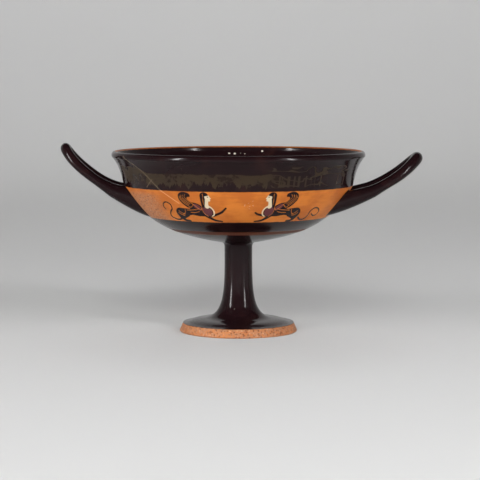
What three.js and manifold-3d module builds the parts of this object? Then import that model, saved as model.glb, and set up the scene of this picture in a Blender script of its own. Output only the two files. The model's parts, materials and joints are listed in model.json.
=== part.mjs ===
// A stemmed drinking cup with two handles, thrown and fired as one body. Millimetres, +Z up, and the
// handles along X. The foot's resting ring lies on z = 0. The body is turned about the Z axis, and the
// finished cup is then moved along X until the origin is midway between the handles' tips.
import * as THREE from "three";
import { mergeVertices } from "three/addons/utils/BufferGeometryUtils.js";
import Module from "manifold-3d";

// ---- Rim bead and offset lip ----
const RIM_RADIUS = 102.5; // widest line of the bead
const RIM_HEIGHT = 146.5; // highest line of the rim
const RIM_CREST_RADIUS = 99.9;
const BEAD_WIDEST_DROP = 3.4; // from the rim's highest line to its widest
const BEAD_DROP = 4.9; // from the rim's highest line to the bead's lower edge
const BEAD_EDGE_RADIUS = 101.7;
const LIP_TOP_LEAN = 0.7; // outward lean from upright under the bead, radians
const LIP_TOP_REACH = 8.4; // how far that lean carries down the curve
const LIP_FOOT_LEAN = 0.22; // lean where the lip meets the bowl
const LIP_FOOT_REACH = 9.0;
const SHOULDER_RADIUS = 92.6; // where the lip meets the bowl
const SHOULDER_HEIGHT = 119.0;

// ---- Bowl ----
const BOWL_TOP_LEAN = 0.508; // inward lean from upright just below the lip, radians
const BOWL_TOP_REACH = 33.9;
const BOWL_BASE_RISE = 0.175; // slope from level where the bowl meets the stem
const BOWL_BASE_REACH = 42.1;
const LIP_WALL = 3.6; // wall thickness at the lip
const BOWL_WALL = 3.8; // at the bowl's side
const BOWL_FLOOR_WALL = 6.4; // over the stem
const RIM_INSIDE_RADIUS = 97.9; // inner side of the rim
const RIM_INSIDE_DROP = 2.4;

// ---- Stem and foot ----
const STEM_RADIUS = 11.35;
const STEM_TOP = 72.8; // height where the stem meets the bowl
const STEM_FILLET = 3.6;
const STEM_STRAIGHT = 38.3; // how far the stem stays straight before it flares
const FOOT_FLARE_RADIUS = 28.7; // where the flare meets the foot's plate
const FOOT_FLARE_HEIGHT = 10.7;
const FOOT_FLARE_REACH = 17.4;
const FOOT_SLOPE = 0.1; // slope from level of the plate's top, radians
const FOOT_TOP_REACH = 12.2;
const FOOT_EDGE_RADIUS = 45.0; // upper edge of the foot's side
const FOOT_EDGE_HEIGHT = 7.15;
const FOOT_RADIUS = 47.65; // widest line of the foot's side
const FOOT_WIDEST_HEIGHT = 0.8;
const RING_OUTER_RADIUS = 47.1; // resting ring
const RING_INNER_RADIUS = 41.0;
const HOLLOW_LEDGE_RADIUS = 39.6; // hollow of the foot's underside
const HOLLOW_LEDGE_HEIGHT = 2.4;
const BORE_RADIUS = 7.0; // hollow inside the stem
const BORE_START = 32.0;
const BORE_TOP = 57.5;

// ---- Handles: one rising loop at each side, drawn by hand, so each has its own sizes ----
// path: quartic control points of the loop's middle line seen from the front, [out from axis, height].
// spread: half the distance between the two arms, at the roots and towards the tip.
// radius: of the round bar at its roots, its middle and its tip.
// footprint: the root's patch on the bowl: half width, and how far it reaches along the wall above
// and below the line where the lip meets the bowl.
// flare: slope and length with which the bar's top and bottom lines run on before they bend onto it.
const LEFT_HANDLE = {
  side: -1,
  path: [
    [93.5, 112.9],
    [99.2, 113.5],
    [116.0, 124.4],
    [132.5, 135.2],
    [139.5, 148.7],
  ],
  spread: { root: 17.5, tip: 12.5 },
  radius: { root: 7.3, middle: 3.65, tip: 4.2 },
  footprint: { halfWidth: 7.6, above: 0.5, below: 32.0 },
  flare: { topSlope: 0.27, topLength: 4.5, bottomSlope: 0.62, bottomLength: 27.0 },
};
const RIGHT_HANDLE = {
  side: 1,
  path: [
    [101.5, 113.0],
    [106.0, 113.0],
    [123.0, 125.1],
    [126.8, 123.4],
    [144.3, 140.9],
  ],
  spread: { root: 23.0, tip: 17.0 },
  radius: { root: 5.85, middle: 3.75, tip: 4.7 },
  footprint: { halfWidth: 8.4, above: -4.0, below: 30.0 },
  flare: { topSlope: 0.27, topLength: 11.5, bottomSlope: 0.505, bottomLength: 26.0 },
};
const BEND_SHARPNESS = 3.6; // how late the two arms turn in to meet at the tip
const ROOT_SWELL = 0.45; // share of an arm's length over which it thickens to its root
const FREE_START = 0.12; // share of an arm's length taken by the flared root
const ROOT_SINK = 0.12; // the root's edge lies this far into the wall
const ROOT_DEPTH = 1.6; // the root's hidden end lies this far into the wall

// ---- Fineness ----
const TURNS = 54; // facets round the axis
const BAR_SIDES = 12; // facets round a handle's bar
const ARM_RINGS = 11; // rings from a root to the tip
const SKIRT_RINGS = 5; // rings in a flared root

const SLIP_BLACK = 0x21161a;

// ---- Profile of the body: pairs [radius, height] as Vector2 ----

function bezier(a, b, c, d, steps) {
  const at = (p) => new THREE.Vector2(p[0], p[1]);
  return new THREE.CubicBezierCurve(at(a), at(b), at(c), at(d)).getPoints(steps);
}

// Joins runs of points end to end, dropping each run's first point where it repeats the last one.
function joined(...runs) {
  const all = [];
  for (const run of runs) {
    for (const p of run) {
      if (!all.length || all[all.length - 1].distanceTo(p) > 1e-4) all.push(p);
    }
  }
  return all;
}

function rimOutside() {
  const widest = RIM_HEIGHT - BEAD_WIDEST_DROP;
  const crest = bezier(
    [RIM_CREST_RADIUS, RIM_HEIGHT],
    [RIM_CREST_RADIUS + 1.5, RIM_HEIGHT],
    [RIM_RADIUS, widest + 1.8],
    [RIM_RADIUS, widest],
    4,
  );
  const under = bezier(
    [RIM_RADIUS, widest],
    [RIM_RADIUS, widest - 0.7],
    [BEAD_EDGE_RADIUS + 0.4, RIM_HEIGHT - BEAD_DROP],
    [BEAD_EDGE_RADIUS, RIM_HEIGHT - BEAD_DROP],
    2,
  );
  return joined(crest, under);
}

function lipOutside(steps) {
  const top = [BEAD_EDGE_RADIUS, RIM_HEIGHT - BEAD_DROP];
  return bezier(
    top,
    [top[0] - Math.sin(LIP_TOP_LEAN) * LIP_TOP_REACH, top[1] - Math.cos(LIP_TOP_LEAN) * LIP_TOP_REACH],
    [
      SHOULDER_RADIUS + Math.sin(LIP_FOOT_LEAN) * LIP_FOOT_REACH,
      SHOULDER_HEIGHT + Math.cos(LIP_FOOT_LEAN) * LIP_FOOT_REACH,
    ],
    [SHOULDER_RADIUS, SHOULDER_HEIGHT],
    steps,
  );
}

function bowlOutside(steps) {
  const base = STEM_RADIUS + STEM_FILLET;
  return bezier(
    [SHOULDER_RADIUS, SHOULDER_HEIGHT],
    [
      SHOULDER_RADIUS - Math.sin(BOWL_TOP_LEAN) * BOWL_TOP_REACH,
      SHOULDER_HEIGHT - Math.cos(BOWL_TOP_LEAN) * BOWL_TOP_REACH,
    ],
    [
      base + Math.cos(BOWL_BASE_RISE) * BOWL_BASE_REACH,
      STEM_TOP + Math.sin(BOWL_BASE_RISE) * BOWL_BASE_REACH,
    ],
    [base, STEM_TOP],
    steps,
  );
}

function stemAndFootOutside() {
  const fillet = bezier(
    [STEM_RADIUS + STEM_FILLET, STEM_TOP],
    [STEM_RADIUS + 0.45 * STEM_FILLET, STEM_TOP],
    [STEM_RADIUS, STEM_TOP - 0.45 * STEM_FILLET],
    [STEM_RADIUS, STEM_TOP - STEM_FILLET],
    3,
  );
  const stem = bezier(
    [STEM_RADIUS, STEM_TOP - STEM_FILLET],
    [STEM_RADIUS - 0.3, STEM_TOP - STEM_FILLET - STEM_STRAIGHT],
    [
      FOOT_FLARE_RADIUS - Math.cos(FOOT_SLOPE) * FOOT_FLARE_REACH,
      FOOT_FLARE_HEIGHT + Math.sin(FOOT_SLOPE) * FOOT_FLARE_REACH,
    ],
    [FOOT_FLARE_RADIUS, FOOT_FLARE_HEIGHT],
    9,
  );
  const plate = bezier(
    [FOOT_FLARE_RADIUS, FOOT_FLARE_HEIGHT],
    [
      FOOT_FLARE_RADIUS + Math.cos(FOOT_SLOPE) * FOOT_TOP_REACH,
      FOOT_FLARE_HEIGHT - Math.sin(FOOT_SLOPE) * FOOT_TOP_REACH,
    ],
    [FOOT_EDGE_RADIUS - 6, FOOT_EDGE_HEIGHT + 0.35],
    [FOOT_EDGE_RADIUS, FOOT_EDGE_HEIGHT],
    4,
  );
  const side = [
    new THREE.Vector2(FOOT_RADIUS, FOOT_WIDEST_HEIGHT),
    new THREE.Vector2(RING_OUTER_RADIUS, 0),
  ];
  return joined(fillet, stem, plate, side);
}

function footUnderside() {
  const bell = bezier(
    [HOLLOW_LEDGE_RADIUS, HOLLOW_LEDGE_HEIGHT],
    [24, 6.6],
    [9.6, 8.5],
    [BORE_RADIUS, BORE_START],
    6,
  );
  const bore = bezier(
    [BORE_RADIUS, BORE_START],
    [BORE_RADIUS - 0.6, BORE_START + 10],
    [BORE_RADIUS - 1.2, BORE_TOP],
    [0, BORE_TOP],
    4,
  );
  return joined([new THREE.Vector2(RING_INNER_RADIUS, 0)], bell, bore);
}

// The inner face of the wall: each outer point moved in along its normal by the wall's thickness there.
function insideOf(outer, thickness) {
  return outer.map((p, i) => {
    const before = outer[Math.max(i - 1, 0)];
    const after = outer[Math.min(i + 1, outer.length - 1)];
    const run = after.clone().sub(before).normalize();
    return new THREE.Vector2(p.x + run.y * thickness(p.x), p.y - run.x * thickness(p.x));
  });
}

function bowlThickness(radius) {
  const share = THREE.MathUtils.smoothstep(radius, 15, 62);
  return THREE.MathUtils.lerp(BOWL_FLOOR_WALL, BOWL_WALL, share);
}

// From the rim's highest line down the inner face of the lip and bowl to the axis.
function insideProfile() {
  const rim = bezier(
    [RIM_CREST_RADIUS, RIM_HEIGHT],
    [RIM_CREST_RADIUS - 1.1, RIM_HEIGHT],
    [RIM_INSIDE_RADIUS + 0.1, RIM_HEIGHT - RIM_INSIDE_DROP + 1.2],
    [RIM_INSIDE_RADIUS, RIM_HEIGHT - RIM_INSIDE_DROP],
    3,
  );
  const lip = insideOf(lipOutside(6), () => LIP_WALL).slice(2);
  const bowl = insideOf(bowlOutside(10), bowlThickness).slice(1);
  const last = bowl[bowl.length - 1];
  const slope = Math.tan(BOWL_BASE_RISE);
  const centre = last.y - (slope * last.x) / 2;
  const floor = [0.5, 0].map((share) => {
    const radius = last.x * share;
    return new THREE.Vector2(radius, centre + (slope * radius * radius) / (2 * last.x));
  });
  return joined(rim, lip, bowl, floor);
}

function bodyProfile() {
  const inside = insideProfile().reverse();
  return joined(
    inside,
    rimOutside(),
    lipOutside(7),
    bowlOutside(12),
    stemAndFootOutside(),
    footUnderside(),
  );
}

// ---- The bowl's outer wall as a surface: along, the length down the profile from the shoulder
// (negative on the lip), and across, the distance from the handles' middle plane ----

const WALL_LINE = joined(lipOutside(24), bowlOutside(60));
const WALL_LENGTHS = WALL_LINE.reduce((sums, p, i) => {
  sums.push(i ? sums[i - 1] + p.distanceTo(WALL_LINE[i - 1]) : 0);
  return sums;
}, []);
const SHOULDER_LENGTH = WALL_LENGTHS[24];

function wallAt(along) {
  const wanted = along + SHOULDER_LENGTH;
  let i = 1;
  while (i < WALL_LENGTHS.length - 1 && WALL_LENGTHS[i] < wanted) i += 1;
  const share = (wanted - WALL_LENGTHS[i - 1]) / (WALL_LENGTHS[i] - WALL_LENGTHS[i - 1]);
  return WALL_LINE[i - 1].clone().lerp(WALL_LINE[i], share);
}

// A point on the outer wall, moved in by depth along the wall's normal.
function wallPoint(side, across, along, depth) {
  const here = wallAt(along);
  const run = wallAt(along + 0.5).sub(wallAt(along - 0.5)).normalize();
  const radius = here.x + run.y * depth;
  const height = here.y - run.x * depth;
  const y = (across * radius) / here.x;
  return new THREE.Vector3(side * Math.sqrt(radius * radius - y * y), y, height);
}

// ---- Handles ----

function quartic(points, t) {
  const binomial = [1, 4, 6, 4, 1];
  const sum = new THREE.Vector2();
  points.forEach((p, i) => {
    const weight = binomial[i] * (1 - t) ** (4 - i) * t ** i;
    sum.x += p[0] * weight;
    sum.y += p[1] * weight;
  });
  return sum;
}

// The loop's middle line from the front, by its share of length from root (0) to tip (1).
function sideLine(handle) {
  const steps = 80;
  const points = [];
  const sums = [0];
  for (let i = 0; i <= steps; i += 1) {
    points.push(quartic(handle.path, i / steps));
    if (i) sums.push(sums[i - 1] + points[i].distanceTo(points[i - 1]));
  }
  const length = sums[steps];
  const at = (share) => {
    const wanted = THREE.MathUtils.clamp(share, 0, 1) * length;
    let i = 1;
    while (i < steps && sums[i] < wanted) i += 1;
    return points[i - 1].clone().lerp(points[i], (wanted - sums[i - 1]) / (sums[i] - sums[i - 1]));
  };
  return { at, length };
}

// Half the distance between the arms at a share of their length from root (0) to tip (1).
function armSpread(handle, share) {
  const straight = THREE.MathUtils.lerp(handle.spread.root, handle.spread.tip, share);
  return straight * Math.sqrt(Math.max(1 - share ** BEND_SHARPNESS, 0));
}

function barRadius(handle, share) {
  const { root, middle, tip } = handle.radius;
  const swell = Math.max(1 - share / ROOT_SWELL, 0) ** 2;
  return middle + (root - middle) * swell + (tip - middle) * share;
}

// A ring of the bar at a signed share: its size is the distance from root to tip, its sign the arm.
function barRing(handle, line, share, arm) {
  const centre = (s) => {
    const flat = line.at(s);
    return new THREE.Vector3(handle.side * flat.x, arm * armSpread(handle, s), flat.y);
  };
  const here = centre(share);
  const ahead = line.at(Math.min(share + 0.004, 1));
  const behind = line.at(Math.max(share - 0.004, 0));
  const rise = ahead.sub(behind).normalize();
  const up = new THREE.Vector3(-handle.side * rise.y, 0, rise.x);
  const out = new THREE.Vector3(handle.side * rise.x, 0, rise.y);
  const step = Math.min(0.004, (1 - share) / 2);
  let tangent = new THREE.Vector3(0, arm, 0);
  if (step > 1e-6) {
    const slide = (armSpread(handle, share - step) - armSpread(handle, share + step)) / (2 * step);
    tangent = out
      .clone()
      .multiplyScalar(-line.length)
      .addScaledVector(new THREE.Vector3(0, arm, 0), slide)
      .normalize();
  }
  const across = new THREE.Vector3().crossVectors(tangent, up).normalize();
  const radius = barRadius(handle, share);
  const ring = [];
  for (let j = 0; j < BAR_SIDES; j += 1) {
    const angle = (2 * Math.PI * j) / BAR_SIDES;
    ring.push(
      here
        .clone()
        .addScaledVector(up, radius * Math.cos(angle))
        .addScaledVector(across, radius * Math.sin(angle)),
    );
  }
  return { ring, tangent };
}

// The flared root: from the bar's first free ring the surface runs on and bends onto the bowl's wall,
// and ends in a hidden ring and hub inside the wall.
function rootRings(handle, first, arm) {
  const { halfWidth, above, below } = handle.footprint;
  const { topSlope, topLength, bottomSlope, bottomLength } = handle.flare;
  const middle = (below - above) / 2;
  const halfHeight = (below + above) / 2;
  const sign = Math.sign(first.ring[BAR_SIDES / 4].y - first.ring[(3 * BAR_SIDES) / 4].y);
  const edge = (j, depth) => {
    const angle = (2 * Math.PI * j) / BAR_SIDES;
    const across = arm * handle.spread.root + sign * halfWidth * Math.sin(angle);
    return wallPoint(handle.side, across, middle - halfHeight * Math.cos(angle), depth);
  };
  const rings = [];
  for (let k = 1; k <= SKIRT_RINGS; k += 1) {
    const t = k / SKIRT_RINGS;
    rings.push(
      first.ring.map((start, j) => {
        const low = (1 - Math.cos((2 * Math.PI * j) / BAR_SIDES)) / 2;
        const slope = THREE.MathUtils.lerp(topSlope, bottomSlope, low);
        const run = THREE.MathUtils.lerp(topLength, bottomLength, low) / Math.hypot(1, slope);
        const end = edge(j, ROOT_SINK);
        const bend = new THREE.Vector3(
          start.x - handle.side * run,
          THREE.MathUtils.lerp(start.y, end.y, 0.6),
          start.z - run * slope,
        );
        return start
          .clone()
          .multiplyScalar((1 - t) ** 2)
          .addScaledVector(bend, 2 * t * (1 - t))
          .addScaledVector(end, t ** 2);
      }),
    );
  }
  rings.push(first.ring.map((_, j) => edge(j, ROOT_DEPTH)));
  const hub = wallPoint(handle.side, arm * handle.spread.root, middle, ROOT_DEPTH);
  return { rings, hub };
}

// One closed bar from the hidden end of one root, over the tip, to the hidden end of the other.
function handleGeometry(handle) {
  const line = sideLine(handle);
  const rings = [];
  const shares = [];
  for (let i = 0; i <= ARM_RINGS; i += 1) {
    const eased = Math.sin((Math.PI / 2) * (i / ARM_RINGS));
    shares.push(FREE_START + (1 - FREE_START) * (0.35 * (i / ARM_RINGS) + 0.65 * eased));
  }
  const arms = [-1, 1].map((arm) => {
    const free = shares.slice(0, -1).map((share) => barRing(handle, line, share, arm));
    const root = rootRings(handle, free[0], arm);
    return { rings: [...root.rings.reverse(), ...free.map((f) => f.ring)], hub: root.hub };
  });
  // The two arms' rings are turned so that their points run the same way round the bar.
  const flip = (ring) => ring.map((_, j) => ring[(BAR_SIDES - j) % BAR_SIDES]);
  const tip = barRing(handle, line, 1, 1).ring;
  rings.push(...arms[0].rings.map(flip), tip, ...arms[1].rings.reverse());
  const positions = [];
  for (const p of [...rings.flat(), arms[0].hub, arms[1].hub]) positions.push(p.x, p.y, p.z);
  const index = [];
  for (let i = 0; i + 1 < rings.length; i += 1) {
    for (let j = 0; j < BAR_SIDES; j += 1) {
      const a = i * BAR_SIDES + j;
      const b = i * BAR_SIDES + ((j + 1) % BAR_SIDES);
      index.push(a, b, a + BAR_SIDES, b, b + BAR_SIDES, a + BAR_SIDES);
    }
  }
  const hubs = rings.length * BAR_SIDES;
  for (let j = 0; j < BAR_SIDES; j += 1) {
    const next = (j + 1) % BAR_SIDES;
    index.push(hubs, next, j);
    index.push(hubs + 1, hubs - BAR_SIDES + j, hubs - BAR_SIDES + next);
  }
  const geometry = new THREE.BufferGeometry();
  geometry.setAttribute("position", new THREE.Float32BufferAttribute(positions, 3));
  geometry.setIndex(index);
  return geometry;
}

// ---- Joining ----

const wasm = await Module();
wasm.setup();

function solidOf(geometry) {
  const bare = geometry.clone();
  bare.deleteAttribute("normal");
  bare.deleteAttribute("uv");
  const merged = mergeVertices(bare, 1e-4);
  const kept = [];
  const index = merged.index.array;
  for (let i = 0; i < index.length; i += 3) {
    const [a, b, c] = [index[i], index[i + 1], index[i + 2]];
    if (a !== b && b !== c && c !== a) kept.push(a, b, c);
  }
  const build = (order) =>
    new wasm.Manifold(
      new wasm.Mesh({
        numProp: 3,
        vertProperties: merged.attributes.position.array,
        triVerts: new Uint32Array(order),
      }),
    );
  const made = build(kept);
  if (made.volume() > 0) return made;
  const turned = [];
  for (let i = 0; i < kept.length; i += 3) turned.push(kept[i], kept[i + 2], kept[i + 1]);
  return build(turned);
}

function geometryOf(solid) {
  const mesh = solid.getMesh();
  const positions = new Float32Array(mesh.numVert * 3);
  for (let i = 0; i < mesh.numVert; i += 1) {
    const start = i * mesh.numProp;
    positions.set(mesh.vertProperties.subarray(start, start + 3), i * 3);
  }
  const geometry = new THREE.BufferGeometry();
  geometry.setAttribute("position", new THREE.BufferAttribute(positions, 3));
  geometry.setIndex(new THREE.BufferAttribute(new Uint32Array(mesh.triVerts), 1));
  return geometry;
}

const body = new THREE.LatheGeometry(bodyProfile(), TURNS).rotateX(Math.PI / 2);
let cup = solidOf(body);
for (const handle of [LEFT_HANDLE, RIGHT_HANDLE]) {
  cup = cup.add(solidOf(handleGeometry(handle)));
}

const kylix = new THREE.Mesh(
  geometryOf(cup),
  new THREE.MeshStandardMaterial({ color: SLIP_BLACK, roughness: 0.25, metalness: 0 }),
);
kylix.name = "kylix";
kylix.geometry.computeVertexNormals();
kylix.geometry.computeBoundingBox();
// The frame's origin is midway between the handles' tips, so the stem's axis stands a little to -X.
kylix.position.x = -(kylix.geometry.boundingBox.min.x + kylix.geometry.boundingBox.max.x) / 2;

const part = new THREE.Group();
part.name = "stemmed_cup";
part.add(kylix);

export default part;
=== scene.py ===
"""A stemmed drinking cup with two handles, painted in black with figures on its clay-coloured band.

The cup is worked out here from the same sizes as its solid, only finer: one turned body, two handles
drawn and joined onto it, and the painter's layers kept as distances on its surface. All the
sizes below are millimetres and radians, measured from the stem's axis and the standing plane; a mesh
is turned into metres when it is made.
"""

import json
import logging
import math
from dataclasses import dataclass, field
from enum import Enum

import bmesh
import bpy
import numpy as np
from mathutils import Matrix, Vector

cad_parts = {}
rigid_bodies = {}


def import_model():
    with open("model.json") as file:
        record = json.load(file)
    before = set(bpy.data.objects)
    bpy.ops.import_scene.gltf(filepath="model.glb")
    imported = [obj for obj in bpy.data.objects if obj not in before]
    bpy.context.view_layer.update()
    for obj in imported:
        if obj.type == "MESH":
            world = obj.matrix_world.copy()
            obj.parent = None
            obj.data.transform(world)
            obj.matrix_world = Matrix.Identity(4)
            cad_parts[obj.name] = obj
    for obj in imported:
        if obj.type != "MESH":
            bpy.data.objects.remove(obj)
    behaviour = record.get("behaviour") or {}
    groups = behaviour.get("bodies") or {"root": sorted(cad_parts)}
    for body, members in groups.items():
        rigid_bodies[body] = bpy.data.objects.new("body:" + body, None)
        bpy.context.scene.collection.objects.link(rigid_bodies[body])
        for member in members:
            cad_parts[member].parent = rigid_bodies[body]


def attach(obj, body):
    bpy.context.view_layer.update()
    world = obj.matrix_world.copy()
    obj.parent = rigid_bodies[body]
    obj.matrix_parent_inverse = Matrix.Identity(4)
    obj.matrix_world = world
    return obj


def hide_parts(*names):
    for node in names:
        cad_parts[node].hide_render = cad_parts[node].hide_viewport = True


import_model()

LOG = logging.getLogger("cup")
MM = 0.001  # one millimetre in metres
Array = np.ndarray
Socket = bpy.types.NodeSocket
AXIS_X = -2.573  # the stem's axis, in millimetres from the middle of the handles' tips


# ---- Curves and grids ----


def bezier(a: Array, b: Array, c: Array, d: Array, steps: int) -> Array:
    """Points of a cubic Bezier curve.

    The point at share t is (1-t)^3 a + 3t(1-t)^2 b + 3t^2(1-t) c + t^3 d.

    Args:
        a, b, c, d: The two ends and, between them, the two controls.
        steps: Number of equal steps of t.

    Returns:
        An array of steps + 1 points.
    """
    a, b, c, d = (np.asarray(p, float) for p in (a, b, c, d))
    t = np.linspace(0.0, 1.0, steps + 1)[:, None]
    return (1 - t) ** 3 * a + 3 * t * (1 - t) ** 2 * b + 3 * t * t * (1 - t) * c + t**3 * d


def chained(*runs: Array) -> Array:
    """Runs of points end to end, without the points that repeat the one before them.

    Returns:
        The joined points.
    """
    points = np.vstack(runs)
    keep = np.ones(len(points), bool)
    keep[1:] = np.linalg.norm(np.diff(points, axis=0), axis=1) > 1e-4
    return points[keep]


def lengths_along(points: Array) -> Array:
    """Running length of a polyline at each of its points, starting at 0."""
    return np.concatenate([[0.0], np.cumsum(np.linalg.norm(np.diff(points, axis=0), axis=1))])


def respaced(points: Array, spacing: float) -> Array:
    """The same polyline with points at equal lengths, near the spacing that is asked for.

    Args:
        points: Points of the polyline.
        spacing: Wanted distance between neighbours.

    Returns:
        Points at equal steps of running length, both ends included.
    """
    run = lengths_along(points)
    wanted = np.linspace(0.0, run[-1], max(int(round(run[-1] / spacing)), 2) + 1)
    return np.stack([np.interp(wanted, run, points[:, k]) for k in range(points.shape[1])], axis=1)


def smoothstep(low: float, high: float, value: Array) -> Array:
    """0 below low, 1 above high, and 3s^2 - 2s^3 of the share s between them."""
    s = np.clip((value - low) / (high - low), 0.0, 1.0)
    return s * s * (3.0 - 2.0 * s)


def unit(vectors: Array) -> Array:
    """Vectors divided by their lengths, along the last axis."""
    return vectors / np.maximum(np.linalg.norm(vectors, axis=-1, keepdims=True), 1e-12)


def mesh_object(name: str, points: Array, faces: list) -> bpy.types.Object:
    """A Blender object at the origin from points in millimetres and lists of faces.

    Args:
        name: Name of the object and of its mesh.
        points: Vertex positions in millimetres.
        faces: Arrays of faces, each of one number of corners.

    Returns:
        The object, linked to the scene.
    """
    mesh = bpy.data.meshes.new(name)
    listed = [row for block in faces for row in block.tolist()]
    mesh.from_pydata((points * MM).tolist(), [], listed)
    mesh.update()
    made = bpy.data.objects.new(name, mesh)
    bpy.context.scene.collection.objects.link(made)
    return made


def positions_of(mesh: bpy.types.Mesh) -> Array:
    """Vertex positions of a mesh, in millimetres.

    Args:
        mesh: The mesh.

    Returns:
        Rows of x, y and z.
    """
    flat = np.empty(len(mesh.vertices) * 3)
    mesh.vertices.foreach_get("co", flat)
    return flat.reshape(-1, 3) / MM


# ---- The turned body ----


@dataclass
class CupBody:
    """The turned body: rim, lip, bowl, stem and foot, hollow above and below."""

    axis_x: float
    rim_radius: float = 102.5
    rim_height: float = 146.5
    rim_crest_radius: float = 99.9
    bead_widest_drop: float = 3.4
    bead_drop: float = 4.9
    bead_edge_radius: float = 101.7
    lip_top_lean: float = 0.7
    lip_top_reach: float = 8.4
    lip_foot_lean: float = 0.22
    lip_foot_reach: float = 9.0
    shoulder_radius: float = 92.6
    shoulder_height: float = 119.0
    bowl_top_lean: float = 0.508
    bowl_top_reach: float = 33.9
    bowl_base_rise: float = 0.175
    bowl_base_reach: float = 42.1
    lip_wall: float = 3.6
    bowl_wall: float = 3.8
    floor_wall: float = 6.4
    rim_inside_radius: float = 97.9
    rim_inside_drop: float = 2.4
    stem_radius: float = 11.35
    stem_top: float = 72.8
    stem_fillet: float = 3.6
    stem_straight: float = 38.3
    flare_radius: float = 28.7
    flare_height: float = 10.7
    flare_reach: float = 17.4
    foot_slope: float = 0.1
    foot_top_reach: float = 12.2
    foot_edge_radius: float = 45.0
    foot_edge_height: float = 7.15
    foot_radius: float = 47.65
    foot_widest_height: float = 0.8
    ring_outer: float = 47.1
    ring_inner: float = 41.0
    ledge_radius: float = 39.6
    ledge_height: float = 2.4
    bore_radius: float = 7.0
    bore_start: float = 32.0
    bore_top: float = 57.5
    columns: int = 144
    fine_split: int = 7
    band_low: float = 93.0
    line_rows_top: float = 86.5
    line_rows_bottom: float = 81.0
    line_spacing: float = 0.9
    fine_spacing: float = 0.52
    coarse_spacing: float = 2.4

    def rim_outside(self, steps: int) -> Array:
        """Rounded bead from the rim's highest line to the bead's lower edge.

        Args:
            steps: Steps of the upper curve.

        Returns:
            Rows of radius and height.
        """
        widest = self.rim_height - self.bead_widest_drop
        low = self.rim_height - self.bead_drop
        crest = bezier(
            (self.rim_crest_radius, self.rim_height),
            (self.rim_crest_radius + 1.5, self.rim_height),
            (self.rim_radius, widest + 1.8),
            (self.rim_radius, widest),
            steps,
        )
        under = bezier(
            (self.rim_radius, widest),
            (self.rim_radius, widest - 0.7),
            (self.bead_edge_radius + 0.4, low),
            (self.bead_edge_radius, low),
            max(steps // 2, 2),
        )
        return chained(crest, under)

    def lip_outside(self, steps: int) -> Array:
        """Hollow outer curve of the lip, from the bead down to the shoulder.

        Args:
            steps: Steps of the curve.

        Returns:
            Rows of radius and height.
        """
        x, z = self.bead_edge_radius, self.rim_height - self.bead_drop
        return bezier(
            (x, z),
            (
                x - math.sin(self.lip_top_lean) * self.lip_top_reach,
                z - math.cos(self.lip_top_lean) * self.lip_top_reach,
            ),
            (
                self.shoulder_radius + math.sin(self.lip_foot_lean) * self.lip_foot_reach,
                self.shoulder_height + math.cos(self.lip_foot_lean) * self.lip_foot_reach,
            ),
            (self.shoulder_radius, self.shoulder_height),
            steps,
        )

    def bowl_outside(self, steps: int) -> Array:
        """Outer curve of the bowl, from the shoulder down to the stem.

        Args:
            steps: Steps of the curve.

        Returns:
            Rows of radius and height.
        """
        base = self.stem_radius + self.stem_fillet
        return bezier(
            (self.shoulder_radius, self.shoulder_height),
            (
                self.shoulder_radius - math.sin(self.bowl_top_lean) * self.bowl_top_reach,
                self.shoulder_height - math.cos(self.bowl_top_lean) * self.bowl_top_reach,
            ),
            (
                base + math.cos(self.bowl_base_rise) * self.bowl_base_reach,
                self.stem_top + math.sin(self.bowl_base_rise) * self.bowl_base_reach,
            ),
            (base, self.stem_top),
            steps,
        )

    def stem_outside(self) -> Array:
        """Outer curve of the stem and its flare, down to the foot's plate.

        Returns:
            Rows of radius and height.
        """
        r, f, top = self.stem_radius, self.stem_fillet, self.stem_top
        fillet = bezier((r + f, top), (r + 0.45 * f, top), (r, top - 0.45 * f), (r, top - f), 6)
        stem = bezier(
            (r, top - f),
            (r - 0.3, top - f - self.stem_straight),
            (
                self.flare_radius - math.cos(self.foot_slope) * self.flare_reach,
                self.flare_height + math.sin(self.foot_slope) * self.flare_reach,
            ),
            (self.flare_radius, self.flare_height),
            60,
        )
        return chained(fillet, respaced(stem, self.coarse_spacing))

    def foot_outside(self) -> Array:
        """Top of the foot's plate, from the flare to its upper edge.

        Returns:
            Rows of radius and height.
        """
        plate = bezier(
            (self.flare_radius, self.flare_height),
            (
                self.flare_radius + math.cos(self.foot_slope) * self.foot_top_reach,
                self.flare_height - math.sin(self.foot_slope) * self.foot_top_reach,
            ),
            (self.foot_edge_radius - 6.0, self.foot_edge_height + 0.35),
            (self.foot_edge_radius, self.foot_edge_height),
            40,
        )
        return respaced(plate, self.coarse_spacing)

    def foot_side(self) -> Array:
        """Slanting side of the foot and the outer edge of its resting ring.

        Returns:
            Rows of radius and height.
        """
        side = np.array(
            [
                (self.foot_edge_radius, self.foot_edge_height),
                (self.foot_radius, self.foot_widest_height),
            ]
        )
        low = np.array([(self.ring_outer, 0.0), (self.ring_inner, 0.0)])
        return chained(respaced(side, 0.9), low)

    def underside(self) -> Array:
        """Hollow of the foot and the narrow bore in the stem, up to the axis.

        Returns:
            Rows of radius and height.
        """
        bell = bezier(
            (self.ledge_radius, self.ledge_height),
            (24.0, 6.6),
            (9.6, 8.5),
            (self.bore_radius, self.bore_start),
            60,
        )
        bore = bezier(
            (self.bore_radius, self.bore_start),
            (self.bore_radius - 0.6, self.bore_start + 10.0),
            (self.bore_radius - 1.2, self.bore_top),
            (0.0, self.bore_top),
            30,
        )
        return chained(
            np.array([(self.ring_inner, 0.0)]),
            respaced(bell, 2.6),
            respaced(bore, 3.0),
        )

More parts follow.
